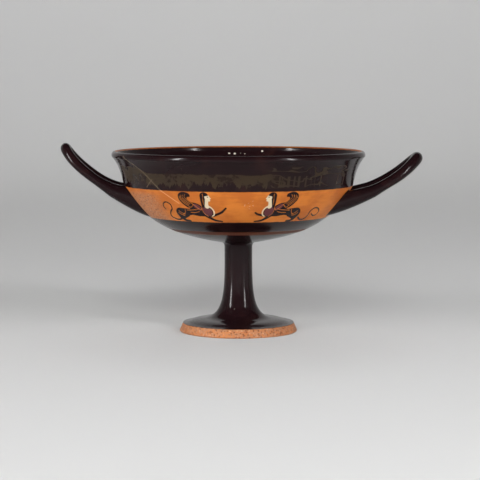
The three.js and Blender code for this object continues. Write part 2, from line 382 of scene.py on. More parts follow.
    def inside(self) -> Array:
        """Inner face from the rim's highest line down to the axis.

        Each point of the outer curve is moved in along its normal by the wall's thickness, which grows
        smoothly towards the stem; a shallow dish closes the floor.

        Returns:
            Rows of radius and height.
        """
        rim = bezier(
            (self.rim_crest_radius, self.rim_height),
            (self.rim_crest_radius - 1.1, self.rim_height),
            (self.rim_inside_radius + 0.1, self.rim_height - self.rim_inside_drop + 1.2),
            (self.rim_inside_radius, self.rim_height - self.rim_inside_drop),
            6,
        )
        lip, bowl = self.lip_outside(60), self.bowl_outside(120)
        thick = self.floor_wall + (self.bowl_wall - self.floor_wall) * smoothstep(15, 62, bowl[:, 0])
        lip = offset_inward(lip, np.full(len(lip), self.lip_wall))
        bowl = offset_inward(bowl, thick)
        lip = lip[lip[:, 1] < rim[-1, 1] - 1.0]
        slope = math.tan(self.bowl_base_rise)
        last = bowl[-1]
        radius = last[0] * np.linspace(0.9, 0.0, 7)
        centre = last[1] - slope * last[0] / 2
        floor = np.stack([radius, centre + slope * radius**2 / (2 * last[0])], axis=1)
        lower = respaced(chained(rim[-1:], lip, bowl[1:]), self.coarse_spacing)
        return chained(rim, lower[1:], floor)

    def band_run(self) -> Array:
        """The part of the outer bowl that carries the painted band, closely spaced."""
        bowl = self.bowl_outside(400)
        return respaced(bowl[bowl[:, 1] >= self.band_low], self.fine_spacing)

    def below_band(self) -> Array:
        """The outer bowl from the band down to the stem.

        Returns:
            Rows of radius and height.
        """
        bowl = self.bowl_outside(400)
        bowl = bowl[bowl[:, 1] <= self.band_run()[-1, 1] + 1e-6]
        upper = bowl[bowl[:, 1] >= self.line_rows_top]
        line = bowl[(bowl[:, 1] <= upper[-1, 1]) & (bowl[:, 1] >= self.line_rows_bottom)]
        lower = bowl[bowl[:, 1] <= line[-1, 1]]
        return chained(
            respaced(upper, self.coarse_spacing),
            respaced(line, self.line_spacing),
            respaced(lower, self.coarse_spacing),
        )

    def ring_points(self, profile: Array, count: int) -> Array:
        """A turned surface: the profile's radius and height, at equal angles round the axis.

        The point at angle a is (axis + r sin a, -r cos a, z), so a = 0 is the front and grows to the
        right.

        Args:
            profile: Rows of radius and height.
            count: Number of columns.

        Returns:
            Points in an array of rows, columns, 3.
        """
        angle = np.arange(count) * 2 * math.pi / count
        r, z = profile[:, :1], profile[:, 1:]
        x = self.axis_x + r * np.sin(angle)
        y = -r * np.cos(angle)
        return np.stack([x, y, np.broadcast_to(z, x.shape)], axis=-1)

    def build(self) -> bpy.types.Object:
        """The whole body as one closed mesh, with a finer grid where the band is painted.

        Returns:
            The body's object.
        """
        n, split = self.columns, self.fine_split
        above = chained(
            self.inside()[::-1],
            self.rim_outside(10),
            respaced(self.lip_outside(60), self.coarse_spacing)[:-1],
        )
        band = self.band_run()
        below = chained(
            self.below_band()[1:],
            self.stem_outside(),
            self.foot_outside(),
            self.foot_side(),
            self.underside(),
        )
        floor, bore = above[:1], below[-1:]
        upper = self.ring_points(above[1:], n)
        middle = self.ring_points(band, n * split)
        lower = self.ring_points(below[:-1], n)
        poles = np.array([(self.axis_x, 0.0, floor[0, 1]), (self.axis_x, 0.0, bore[0, 1])])
        points = np.vstack([g.reshape(-1, 3) for g in (upper, middle, lower)] + [poles])
        start = np.cumsum([0, upper.shape[0] * n, middle.shape[0] * n * split, lower.shape[0] * n])
        faces = [
            grid_faces(upper.shape[0], n, start[0]),
            grid_faces(middle.shape[0], n * split, start[1]),
            grid_faces(lower.shape[0], n, start[2]),
            *stitch_faces(start[1] - n, start[1], n, split, coarse_first=True),
            *stitch_faces(start[2], start[2] - n * split, n, split, coarse_first=False),
            pole_faces(start[0], n, start[3], top=True),
            pole_faces(start[3] - n, n, start[3] + 1, top=False),
        ]
        return mesh_object("cup_body", points, faces)


def offset_inward(profile: Array, depth: Array) -> Array:
    """Each point of a profile moved in along its normal; the run's direction (a, b) has (b, -a) inward.

    Args:
        profile: Rows of radius and height, from the top down.
        depth: Distance for each row.

    Returns:
        The moved profile.
    """
    run = unit(np.gradient(profile, axis=0))
    return profile + np.stack([run[:, 1], -run[:, 0]], axis=1) * depth[:, None]


def grid_faces(rows: int, columns: int, start: int) -> Array:
    """Quads of a grid that closes on itself across its columns.

    Rows run from the inside floor over the rim and down, so this order faces outwards.

    Args:
        rows, columns: Size of the grid.
        start: Index of the grid's first vertex.

    Returns:
        Rows of four corners.
    """
    row = np.arange(rows - 1)[:, None] * columns
    here = np.arange(columns)[None, :]
    after = (here + 1) % columns
    quads = [row + here, row + columns + here, row + columns + after, row + after]
    return start + np.stack(quads, axis=-1).reshape(-1, 4)


def stitch_faces(coarse: int, fine: int, count: int, split: int, coarse_first: bool) -> list:
    """Triangles between a coarse ring and a fine one that has split columns to each coarse one.

    Args:
        coarse: Index of the coarse ring's first vertex.
        fine: Index of the fine ring's first vertex.
        count: Columns of the coarse ring.
        split: Fine columns to each coarse one.
        coarse_first: True where the coarse ring is the upper row.

    Returns:
        Two arrays of triangles.
    """
    k = np.arange(count)
    after = (k + 1) % count
    half = split // 2
    total = count * split
    step = np.arange(split)[None, :]
    left = fine + (k[:, None] * split + step) % total
    right = fine + (k[:, None] * split + step + 1) % total
    corner = coarse + np.where(step < half + 1, k[:, None], after[:, None])
    fans = np.stack([corner, left, right], axis=-1).reshape(-1, 3)
    wedge = np.stack([coarse + k, fine + (k * split + half + 1) % total, coarse + after], axis=-1)
    if coarse_first:
        return [fans, wedge]
    return [fans[:, ::-1], wedge[:, ::-1]]


def pole_faces(ring: int, count: int, pole: int, top: bool) -> Array:
    """Triangles from a ring to the point on the axis that closes it.

    Args:
        ring: Index of the ring's first vertex.
        count: Vertices of the ring.
        pole: Index of the pole.
        top: True for the upper pole.

    Returns:
        Rows of three corners.
    """
    here = np.arange(count)
    after = (here + 1) % count
    ends = (after, here) if top else (here, after)
    first, second = ends[1], ends[0]
    return np.stack([np.full(count, pole), ring + first, ring + second], axis=-1)


# ---- The handles ----


@dataclass
class Wall:
    """The outer wall of lip and bowl as a surface, by length down from the shoulder."""

    body: CupBody
    line: Array = field(init=False)
    runs: Array = field(init=False)
    offset: float = field(init=False)

    def __post_init__(self) -> None:
        """Works out the wall's line and its running lengths."""
        lip, bowl = self.body.lip_outside(24), self.body.bowl_outside(60)
        self.line = chained(lip, bowl)
        self.runs = lengths_along(self.line)
        self.offset = self.runs[24]

    def at(self, along: Array) -> Array:
        """Radius and height at lengths down from the shoulder, negative on the lip.

        Args:
            along: Lengths from the shoulder.

        Returns:
            Radius and height of each.
        """
        wanted = along + self.offset
        columns = [np.interp(wanted, self.runs, self.line[:, k]) for k in (0, 1)]
        return np.stack(columns, axis=-1)

    def point(self, side: int, across: Array, along: Array, depth: float) -> Array:
        """Points on the wall, moved in by depth along its normal.

        Args:
            side: -1 or 1, the side of the cup.
            across: Distances from the handles' middle plane.
            along: Lengths down from the shoulder.
            depth: Distance into the wall.

        Returns:
            Points measured from the stem's axis.
        """
        here = self.at(along)
        run = unit(self.at(along + 0.5) - self.at(along - 0.5))
        radius = here[..., 0] + run[..., 1] * depth
        height = here[..., 1] - run[..., 0] * depth
        y = across * radius / here[..., 0]
        return np.stack([side * np.sqrt(radius**2 - y**2), y, height], axis=-1)


@dataclass
class Handle:
    """One rising loop: two arms that spring from the bowl and bend together at the tip."""

    name: str
    side: int
    path: tuple
    spread_root: float
    spread_tip: float
    radius_root: float
    radius_middle: float
    radius_tip: float
    foot_half_width: float
    foot_above: float
    foot_below: float
    top_slope: float
    top_length: float
    bottom_slope: float
    bottom_length: float
    bend_sharpness: float = 3.6
    root_swell: float = 0.45
    free_start: float = 0.12
    root_sink: float = 0.12
    root_depth: float = 1.6
    sides: int = 28
    arm_rings: int = 46
    skirt_rings: int = 18

    def side_line(self, share: Array) -> Array:
        """The loop's middle line from the front, by its share of length from root to tip.

        It is a Bezier curve of the fourth degree, read at equal shares of its length.

        Args:
            share: Shares of the length.

        Returns:
            Rows of distance from the axis and height.
        """
        t = np.linspace(0.0, 1.0, 401)[:, None]
        weights = [math.comb(4, i) * (1 - t) ** (4 - i) * t**i for i in range(5)]
        points = sum(w * np.asarray(p, float) for w, p in zip(weights, self.path))
        run = lengths_along(points)
        wanted = np.clip(share, 0.0, 1.0) * run[-1]
        self.line_length = run[-1]
        return np.stack([np.interp(wanted, run, points[:, k]) for k in (0, 1)], axis=-1)

    def arm_spread(self, share: Array) -> Array:
        """Half the distance between the arms: a straight taper times sqrt(1 - share^sharpness)."""
        straight = self.spread_root + (self.spread_tip - self.spread_root) * share
        return straight * np.sqrt(np.maximum(1 - share**self.bend_sharpness, 0.0))

    def bar_radius(self, share: Array) -> Array:
        """The bar's radius: its middle size, swelling as a square to the root and evenly to the tip.

        Args:
            share: Shares of the length.

        Returns:
            The radius at each.
        """
        swell = np.maximum(1 - share / self.root_swell, 0.0) ** 2
        root, middle, tip = self.radius_root, self.radius_middle, self.radius_tip
        return middle + (root - middle) * swell + (tip - middle) * share

    def rings(self, share: Array, arm: int) -> Array:
        """Rings of the bar at shares of its length, on one arm.

        A ring's centre is (side x, arm * spread, z). Its plane holds the upward normal of the side
        line and the direction across the bar, tangent x up.

        Args:
            share: Shares from root (0) to tip (1).
            arm: -1 or 1.

        Returns:
            Points in an array of rings, sides, 3.
        """
        flat = self.side_line(share)
        centre = np.stack([self.side * flat[:, 0], arm * self.arm_spread(share), flat[:, 1]], axis=1)
        rise = unit(self.side_line(np.minimum(share + 0.004, 1)) - self.side_line(share - 0.004))
        zero = np.zeros(len(share))
        up = np.stack([-self.side * rise[:, 1], zero, rise[:, 0]], axis=1)
        out = np.stack([self.side * rise[:, 0], zero, rise[:, 1]], axis=1)
        step = np.minimum(0.004, (1 - share) / 2)
        safe = np.maximum(step, 1e-9)
        slide = (self.arm_spread(share - step) - self.arm_spread(share + step)) / (2 * safe)
        sideways = np.array([0.0, arm, 0.0])
        tangent = unit(-self.line_length * out + slide[:, None] * sideways)
        tangent = np.where((step > 1e-6)[:, None], tangent, sideways)
        across = unit(np.cross(tangent, up))
        angle = np.arange(self.sides) * 2 * math.pi / self.sides
        radius = self.bar_radius(share)[:, None, None]
        ring = np.cos(angle)[None, :, None] * up[:, None] + np.sin(angle)[None, :, None] * across[:, None]
        return centre[:, None] + radius * ring

    def skirt(self, wall: Wall, first: Array, arm: int) -> tuple[Array, Array]:
        """The flared root of an arm, from its first free ring onto the wall.

        Each line of the skirt is a parabola from the ring's point, over a bend that runs on inwards and
        down, to its point of the footprint. A hidden ring and hub close it inside the wall.

        Args:
            wall: The bowl's outer wall.
            first: The arm's first free ring.
            arm: -1 or 1.

        Returns:
            The skirt's rings and its hub.
        """
        angle = np.arange(self.sides) * 2 * math.pi / self.sides
        middle = (self.foot_below - self.foot_above) / 2
        half = (self.foot_below + self.foot_above) / 2
        quarter = self.sides // 4
        sign = np.sign(first[quarter, 1] - first[3 * quarter, 1])
        across = arm * self.spread_root + sign * self.foot_half_width * np.sin(angle)
        along = middle - half * np.cos(angle)
        end = wall.point(self.side, across, along, self.root_sink)
        low = (1 - np.cos(angle)) / 2
        slope = self.top_slope + (self.bottom_slope - self.top_slope) * low
        run = (self.top_length + (self.bottom_length - self.top_length) * low) / np.hypot(1, slope)
        bend = np.stack(
            [
                first[:, 0] - self.side * run,
                0.4 * first[:, 1] + 0.6 * end[:, 1],
                first[:, 2] - run * slope,
            ],
            axis=1,
        )
        t = (np.arange(1, self.skirt_rings + 1) / self.skirt_rings)[:, None, None]
        open_rings = (1 - t) ** 2 * first + 2 * t * (1 - t) * bend + t**2 * end
        hidden = wall.point(self.side, across, along, self.root_depth)
        hub = wall.point(
            self.side, np.array([arm * self.spread_root]), np.array([middle]), self.root_depth
        )
        return np.concatenate([open_rings, hidden[None]]), hub

    def build(self, wall: Wall, axis_x: float) -> bpy.types.Object:
        """The handle as one closed bar, from inside one root over the tip to inside the other.

        Args:
            wall: The bowl's outer wall.
            axis_x: Place of the stem's axis along X.

        Returns:
            The handle's object.
        """
        i = np.arange(self.arm_rings + 1) / self.arm_rings
        share = self.free_start + (1 - self.free_start) * (0.35 * i + 0.65 * np.sin(math.pi / 2 * i))
        self.side_line(share)
        arms = []
        for arm in (-1, 1):
            free = self.rings(share[:-1], arm)
            skirt, hub = self.skirt(wall, free[0], arm)
            arms.append((np.concatenate([skirt[::-1], free]), hub))
        tip = self.rings(np.array([1.0]), 1)
        turned = (self.sides - np.arange(self.sides)) % self.sides
        rings = np.concatenate([arms[0][0][:, turned], tip, arms[1][0][::-1]])
        points = np.vstack([rings.reshape(-1, 3), arms[0][1], arms[1][1]])
        points[:, 0] += axis_x
        total = rings.shape[0] * self.sides
        here = np.arange(self.sides)
        after = (here + 1) % self.sides
        first = np.stack([np.full(self.sides, total), after, here], axis=-1)
        last_ring = total - self.sides
        last = np.stack([np.full(self.sides, total + 1), last_ring + here, last_ring + after], axis=-1)
        faces = [grid_faces(rings.shape[0], self.sides, 0)[:, ::-1], first, last]
        return mesh_object(self.name, points, faces)


def left_handle() -> Handle:
    """The left loop, which is the higher and narrower one.

    Returns:
        The handle, not yet built.
    """
    return Handle(
        name="left_handle",
        side=-1,
        path=((93.5, 112.9), (99.2, 113.5), (116.0, 124.4), (132.5, 135.2), (139.5, 148.7)),
        spread_root=17.5,
        spread_tip=12.5,
        radius_root=7.3,
        radius_middle=3.65,
        radius_tip=4.2,
        foot_half_width=7.6,
        foot_above=0.5,
        foot_below=32.0,
        top_slope=0.27,
        top_length=4.5,
        bottom_slope=0.62,
        bottom_length=27.0,
    )


def right_handle() -> Handle:
    """The right loop, which reaches further out and is broader.

    Returns:
        The handle, not yet built.
    """
    return Handle(
        name="right_handle",
        side=1,
        path=((101.5, 113.0), (106.0, 113.0), (123.0, 125.1), (126.8, 123.4), (144.3, 140.9)),
        spread_root=23.0,
        spread_tip=17.0,
        radius_root=5.85,
        radius_middle=3.75,
        radius_tip=4.7,
        foot_half_width=8.4,
        foot_above=-4.0,
        foot_below=30.0,
        top_slope=0.27,
        top_length=11.5,
        bottom_slope=0.505,
        bottom_length=26.0,
    )


# ---- Joining, and the surface that the painter sees ----


def outward(piece: bpy.types.Object) -> None:
    """Turns a closed mesh's faces outwards where its volume says that they point in.

    Args:
        piece: The piece.
    """
    work = bmesh.new()
    work.from_mesh(piece.data)
    if work.calc_volume(signed=True) < 0:
        bmesh.ops.reverse_faces(work, faces=work.faces[:])
    work.to_mesh(piece.data)
    work.free()


def joined_cup(body: bpy.types.Object, handles: list[bpy.types.Object]) -> bpy.types.Object:
    """Joins the handles onto the body into one closed skin.

    Args:
        body: The turned body.
        handles: The handle objects, which are used up.

    Returns:
        The cup, under the name kylix_cup.
    """
    for piece in (body, *handles):
        outward(piece)
    for handle in handles:
        union = body.modifiers.new("join", "BOOLEAN")
        union.operation = "UNION"
        union.solver = "MANIFOLD"
        union.object = handle
        depsgraph = bpy.context.evaluated_depsgraph_get()
        mesh = bpy.data.meshes.new_from_object(body.evaluated_get(depsgraph))
        body.modifiers.clear()
        body.data = mesh
        bpy.data.objects.remove(handle)
    body.name = "kylix_cup"
    body.data.name = "kylix_cup"
    body.data.materials.clear()
    return body


# ---- Distances for the painter ----
# Every shape below gives a distance in millimetres that is positive inside the shape.


def tapered_stroke(u: Array, v: Array, points: tuple, widths: tuple) -> Array:
    """A brush stroke along straight pieces, whose half width changes from point to point.

    For each piece, the nearest share along it is found, and the distance to that point is taken from
    the half width there; the stroke is the largest of its pieces.

    Args:
        u, v: Places across and up.
        points: Points of the stroke.
        widths: Half width at each point.

    Returns:
        Distance inside the stroke.
    """
    best = np.full(u.shape, -99.0)
    for (ax, ay), (bx, by), wa, wb in zip(points[:-1], points[1:], widths[:-1], widths[1:]):
        dx, dy = bx - ax, by - ay
        share = np.clip(((u - ax) * dx + (v - ay) * dy) / max(dx * dx + dy * dy, 1e-9), 0.0, 1.0)
        gap = np.hypot(u - ax - share * dx, v - ay - share * dy)
        best = np.maximum(best, wa + (wb - wa) * share - gap)
    return best


def rounded_path(points: tuple, steps: int = 6) -> Array:
    """A smooth open line through points: a Catmull-Rom curve with steps points to each piece.

    Args:
        points: Points of the line.
        steps: Steps from each point to the next.

    Returns:
        Points of the curve.
    """
    p = np.asarray(points, float)
    p = np.vstack([2 * p[0] - p[1], p, 2 * p[-1] - p[-2]])
    t = (np.arange(steps) / steps)[:, None]
    runs = []
    for a, b, c, d in zip(p[:-3], p[1:-2], p[2:-1], p[3:]):
        bend = (2 * a - 5 * b + 4 * c - d) * t**2 + (3 * b - a - 3 * c + d) * t**3
        runs.append(b + 0.5 * ((c - a) * t + bend))
    return np.vstack([*runs, p[-2:-1]])


def line_stroke(u: Array, v: Array, points: tuple, start: float, end: float) -> Array:
    """A thin curved line through points, with half widths from start to end.

    Args:
        u, v: Places across and up.
        points: Points of the line.
        start, end: Half widths at its ends.

    Returns:
        Distance inside the shape.
    """
    path = rounded_path(points)
    widths = np.linspace(start, end, len(path))
    return tapered_stroke(u, v, [tuple(p) for p in path], tuple(widths))


def oval(u: Array, v: Array, centre: tuple, half: tuple, turn: float = 0.0) -> Array:
    """An oval: (1 - sqrt(x^2/a^2 + y^2/b^2)) times its smaller half width, turned by an angle.

    Args:
        u, v: Places across and up.
        centre, half: Its middle and half widths.
        turn: Its angle in radians.

    Returns:
        Distance inside the shape.
    """
    c, s = math.cos(turn), math.sin(turn)
    x = (u - centre[0]) * c + (v - centre[1]) * s
    y = -(u - centre[0]) * s + (v - centre[1]) * c
    return (1.0 - np.hypot(x / half[0], y / half[1])) * min(half)


def outlined(u: Array, v: Array, points: tuple) -> Array:
    """A closed smooth outline through points, filled.

    The distance is the smallest to any of its straight pieces; a place is inside where a ray to the
    right crosses the outline an odd number of times.

    Args:
        u, v: Places across and up.
        points: Points of the outline.

    Returns:
        Distance inside the shape.
    """
    loop = tuple(points) + tuple(points[:1])
    path = rounded_path(loop, 5)
    gap = np.full(u.shape, 99.0)
    inside = np.zeros(u.shape, bool)
    for (ax, ay), (bx, by) in zip(path[:-1], path[1:]):
        dx, dy = bx - ax, by - ay
        share = np.clip(((u - ax) * dx + (v - ay) * dy) / max(dx * dx + dy * dy, 1e-9), 0.0, 1.0)
        gap = np.minimum(gap, np.hypot(u - ax - share * dx, v - ay - share * dy))
        if abs(dy) > 1e-9:
            crosses = ((ay > v) != (by > v)) & (u < ax + (v - ay) / dy * dx)
            inside ^= crosses
    return np.where(inside, gap, -gap)


class TailKind(Enum):
    """How a figure's tail ends."""

    HOOK = "hook"
    LOOP = "loop"


class PawKind(Enum):
    """How high a figure lifts its far foreleg."""

    HIGH = "high"
    LOW = "low"


@dataclass(frozen=True)
class Layers:
    """A figure's paint: black slip, added red, added white and lines cut through to the clay."""

    black: Array
    red: Array
    white: Array
    cut: Array


@dataclass(frozen=True)
class Sphinx:
    """A seated sphinx of the common kind, drawn facing right in millimetres above its ground line.

    turn is its place round the cup in degrees from the front, and facing is 1 to the right or -1.
    """

    turn: float
    facing: int
    tail: TailKind
    paw: PawKind
    finely_cut: bool = True

    def black(self, u: Array, v: Array) -> Array:
        """The figure's black silhouette: body, legs, wing, hair and tail.

        Args:
            u, v: Places across and up.

        Returns:
            Distance inside the shape.
        """
        tails = {
            TailKind.HOOK: (
                (-13.8, 3.2), (-17.5, 1.6), (-21.4, 2.0), (-24.6, 4.2), (-23.4, 7.6), (-20.6, 10.4),
                (-20.8, 13.8), (-24.2, 15.7), (-27.8, 14.4), (-28.8, 11.6), (-27.4, 9.8),
            ),
            TailKind.LOOP: (
                (-17.6, 3.4), (-20.6, 1.4), (-24.8, 1.7), (-27.2, 4.4), (-28.0, 7.8), (-31.2, 10.3),
                (-35.6, 10.0), (-38.6, 7.4), (-37.2, 4.4), (-33.6, 4.0), (-30.8, 5.6),
            ),
        }
        paws = {
            PawKind.HIGH: ((12.4, 5.4), (17.6, 7.0), (21.6, 8.8), (24.2, 10.8), (25.8, 12.0)),
            PawKind.LOW: ((12.4, 5.8), (15.8, 6.3), (19.0, 7.2), (21.0, 8.4)),
        }
        parts = [
            oval(u, v, (-12.6, 7.3), (4.9, 4.3), -0.1),
            tapered_stroke(u, v, ((-11.0, 8.2), (-3.0, 8.4), (3.0, 7.6), (9.0, 8.8)), (3.3, 2.4, 2.6, 3.9)),
            tapered_stroke(u, v, ((-12.0, 5.6), (-7.4, 6.0)), (3.2, 1.5)),
            line_stroke(u, v, ((-15.2, 4.8), (-13.4, 2.6), (-11.6, 1.2), (-7.8, 0.8)), 1.5, 0.7),
            line_stroke(u, v, ((7.6, 6.2), (10.8, 3.6), (14.0, 1.7), (18.6, 1.1)), 1.5, 0.55),
            line_stroke(u, v, paws[self.paw], 0.95, 0.6),
            line_stroke(u, v, tails[self.tail], 0.62, 0.48),
            self.wing(u, v),
            oval(u, v, (11.3, 21.7), (3.5, 2.9), 0.1),
            tapered_stroke(u, v, ((9.7, 21.4), (9.2, 17.4), (8.2, 12.8)), (2.0, 1.9, 1.1)),
            self.eye(u, v),
            oval(u, v, (10.2, 9.2), (4.5, 4.4)),
        ]
        return np.maximum.reduce(parts)

    def wing(self, u: Array, v: Array) -> Array:
        """The sickle-shaped wing, which springs from the shoulder and curls forward at its tip.

        Args:
            u, v: Places across and up.

        Returns:
            Distance inside the shape.
        """
        outline = (
            (7.2, 11.6), (6.2, 14.0), (2.6, 15.8), (-1.2, 16.6), (-3.6, 18.8), (-3.0, 20.4), (-0.6, 20.8),
            (-0.7, 23.0), (-3.8, 24.4), (-7.8, 24.2), (-11.0, 21.6), (-10.6, 17.6), (-7.2, 13.6),
            (-3.0, 10.8), (1.2, 8.6), (5.6, 8.6),
        )
        return outlined(u, v, outline)

    def red(self, u: Array, v: Array) -> Array:
        """Added red on the chest and on the bow of the wing.

        Args:
            u, v: Places across and up.

        Returns:
            Distance inside the shape.
        """
        chest = oval(u, v, (10.4, 9.2), (3.7, 3.7))
        bow = oval(u, v, (3.4, 12.6), (3.7, 1.9), -0.62)
        return np.maximum(chest, bow)

    def white(self, u: Array, v: Array) -> Array:
        """Added white on face, neck and the edge of the breast: a plain rounded profile.

        Args:
            u, v: Places across and up.

        Returns:
            Distance inside the shape.
        """
        face = oval(u, v, (13.5, 20.2), (2.1, 2.5), -0.1)
        nose = tapered_stroke(u, v, ((14.9, 20.2), (15.9, 19.6)), (0.7, 0.4))
        chin = oval(u, v, (14.3, 18.2), (1.1, 0.9))
        neck = tapered_stroke(u, v, ((12.7, 18.6), (11.6, 15.4), (11.2, 13.2)), (1.3, 1.25, 1.7))
        breast = line_stroke(u, v, ((11.4, 13.6), (14.2, 12.2), (15.5, 9.4), (14.6, 6.6), (12.6, 5.2)),
                             0.7, 0.35)
        brow = oval(u, v, (12.0, 23.3), (4.2, 1.9), 0.1)
        eye = self.eye(u, v)
        return np.minimum(np.maximum.reduce([face, nose, chin, neck, breast]), -np.maximum(brow, eye))

    def eye(self, u: Array, v: Array) -> Array:
        """The eye: a plain dot with a short lid line."""
        lid = tapered_stroke(u, v, ((13.3, 20.9), (14.6, 21.0)), (0.12, 0.16))
        return np.maximum(oval(u, v, (13.9, 20.5), (0.42, 0.3)), lid)

    def cut(self, u: Array, v: Array) -> Array:
        """Lines cut through the slip: edges of wing bow, chest, haunch and hair, and the feathers.

        Args:
            u, v: Places across and up.

        Returns:
            Distance inside the shape.
        """
        wide = 0.24
        lines = [
            ((6.8, 12.0), (5.2, 10.4), (1.6, 13.6), (-0.6, 15.8)),
            ((7.0, 12.6), (6.6, 10.0), (7.4, 7.2), (9.4, 5.2)),
            ((-8.2, 10.6), (-9.0, 8.0), (-11.4, 6.2)),
            ((10.4, 23.2), (10.0, 20.6), (9.4, 17.4), (9.0, 14.4)),
        ]
        if self.finely_cut:
            lines += [
                ((-2.0, 15.0), (-5.6, 17.6), (-7.4, 20.2), (-6.4, 22.2)),
                ((-0.8, 15.6), (-4.4, 18.6), (-5.4, 20.8), (-4.4, 22.4)),
                ((-3.2, 14.2), (-7.2, 17.2), (-8.8, 20.0), (-8.4, 22.0)),
                ((-3.8, 13.2), (-8.0, 16.4), (-9.8, 19.4), (-9.8, 21.4)),
                ((-4.2, 12.4), (-1.6, 12.6), (0.4, 14.8)),
                ((-15.4, 7.6), (-13.2, 6.0), (-10.6, 5.2)),
                ((-14.6, 9.2), (-12.0, 7.2), (-9.6, 6.4)),
                ((4.4, 11.4), (1.0, 10.4), (-3.4, 10.0), (-6.8, 9.8)),
                ((3.6, 9.0), (0.0, 8.0), (-4.0, 8.0)),
            ]
        return np.maximum.reduce([line_stroke(u, v, p, wide, wide) for p in lines])

    def layers(self, u: Array, v: Array) -> Layers:
        """All of the figure's paint at places across and up from its own ground point.

        Args:
            u, v: Places across and up.

        Returns:
            The four layers.
        """
        across = u * self.facing
        return Layers(
            self.black(across, v), self.red(across, v), self.white(across, v), self.cut(across, v)
        )


@dataclass
class Painter:
    """What is painted where: reserved clay, figures and the marks of age, as distances on the skin."""

    body: CupBody
    handles: list[Handle]
    band_top: float = 118.85
    band_bottom: float = 94.1
    line_top: float = 85.2
    line_bottom: float = 82.4
    ground: float = 94.0
    rim_line_depth: float = 0.95
    root_margin: float = 0.9
    band_slope: float = 0.8  # height lost for a millimetre down the wall
    line_slope: float = 0.42
    tondo_radius: float = 16.0
    tondo_half: float = 0.55
    tondo_dot: float = 2.2
    ring_gap: float = 3.4
    ring_half: float = 0.45
    skin_gap: float = 0.3
    figures: tuple = (
        Sphinx(-24.0, 1, TailKind.HOOK, PawKind.HIGH),
        Sphinx(24.0, -1, TailKind.LOOP, PawKind.LOW),
        Sphinx(156.0, 1, TailKind.HOOK, PawKind.LOW, finely_cut=False),
        Sphinx(204.0, -1, TailKind.LOOP, PawKind.HIGH, finely_cut=False),
    )
    mean_radius: float = 94.0
    lip_stretch: float = 1.12
    far: float = -6.0

    def wall_radius(self, z: Array) -> Array:
        """Outer radius of lip and bowl at a height."""
        line = chained(self.body.lip_outside(60), self.body.bowl_outside(120))[::-1]
        return np.interp(z, line[:, 1], line[:, 0])

    def paint(self, cup: bpy.types.Object) -> None:
        """Works out every layer at the skin's vertices and keeps it as a named attribute.

        Args:
            cup: The joined cup.
        """
        p = positions_of(cup.data)
        x, y, z = p[:, 0] - self.body.axis_x, p[:, 1], p[:, 2]
        r = np.hypot(x, y)
        turn = np.degrees(np.arctan2(x, -y))
        outer = self.wall_radius(z)
        gap = r - outer
        on_wall = (z > self.body.stem_top) & (z < self.body.rim_height - self.body.bead_drop)
        outside = on_wall & (np.abs(gap) < self.skin_gap)
        on_handle = on_wall & (gap > self.skin_gap) | (r > self.body.rim_radius + 0.5)
        fields = {
            "clay": self.clay(x, y, z, r, outside, on_handle),
            **self.pictures(turn, z, r, outside),
            **self.crack(turn, z, outside | (z > self.body.rim_height - 6.0) & (gap > -3.0)),
            "inner": self.inner(z, r, outside, on_handle).astype(float),
        }
        for name, values in fields.items():
            layer = cup.data.attributes.new(name, "FLOAT", "POINT")
            layer.data.foreach_set("value", values.astype(np.float32))
            LOG.info("painted %s over %d points", name, len(values))

    def inner(self, z: Array, r: Array, outside: Array, on_handle: Array) -> Array:
        """True on the drinking side of the wall."""
        return (z > self.body.stem_top + 2.0) & (r < self.body.rim_crest_radius) & ~outside & ~on_handle

    def clay(self, x: Array, y: Array, z: Array, r: Array, outside: Array, on_handle: Array) -> Array:
        """Distance inside the parts that are left in the colour of the clay.

        They are the band and the thin line below it, cut out round the handles' roots, the inner edge
        of the rim, a circle with a dot on the floor, the foot's side and its underside.

        Args:
            x, y, z: Places from the stem's axis.
            r: Distance from the axis.
            outside: True on the outer wall.
            on_handle: True on a handle.

        Returns:
            Distance inside the shape.
        """
        body = self.body
        band = np.minimum(self.band_top - z, z - self.band_bottom) / self.band_slope
        thin = np.minimum(self.line_top - z, z - self.line_bottom) / self.line_slope
        field = np.where(outside, np.maximum(band, thin), self.far)
        for handle in self.handles:
            field = np.where(outside, np.minimum(field, -self.root(handle, x, y, z)), field)
        field = np.where(on_handle, self.far, field)
        inner = self.inner(z, r, outside, on_handle)
        edge = self.rim_line_depth - (body.rim_height - z)
        tondo = np.maximum(self.tondo_half - np.abs(r - self.tondo_radius), self.tondo_dot - r)
        ring = self.ring_half - np.abs(r - self.tondo_radius - self.ring_gap)
        field = np.where(inner, np.maximum.reduce([edge, tondo, ring]), field)
        foot = np.minimum(body.foot_edge_height - 0.25 - z, 8.0)
        low = z < body.stem_top - 6.0
        field = np.where(low & (r > body.flare_radius + 1), foot, field)
        bore = (r < body.bore_radius + 0.6) & (z < body.bore_top + 0.5)
        under = low & ((z < self.underside_top(r) + 0.5) | bore)
        return np.where(under, 6.0, np.where(low & (r <= body.flare_radius + 1), self.far, field))

    def underside_top(self, r: Array) -> Array:
        """Height of the foot's hollow at a radius."""
        line = self.body.underside()[::-1]
        return np.interp(r, line[:, 0], line[:, 1])

    def root(self, handle: Handle, x: Array, y: Array, z: Array) -> Array:
        """Distance inside the black patches round a handle's two roots, as ovals on the wall.

        Args:
            handle: The handle.
            x, y, z: Places from the stem's axis.

        Returns:
            Distance inside the shape.
        """
        along = (self.body.shoulder_height - z) * 1.28
        middle = (handle.foot_below - handle.foot_above) / 2
        half = (handle.foot_below + handle.foot_above) / 2 + self.root_margin
        wide = handle.foot_half_width + self.root_margin
        ovals = [
            oval(y, along, (arm * handle.spread_root, middle), (wide, half)) for arm in (-1.0, 1.0)
        ]
        return np.where(x * handle.side > 0, np.maximum(*ovals), self.far)

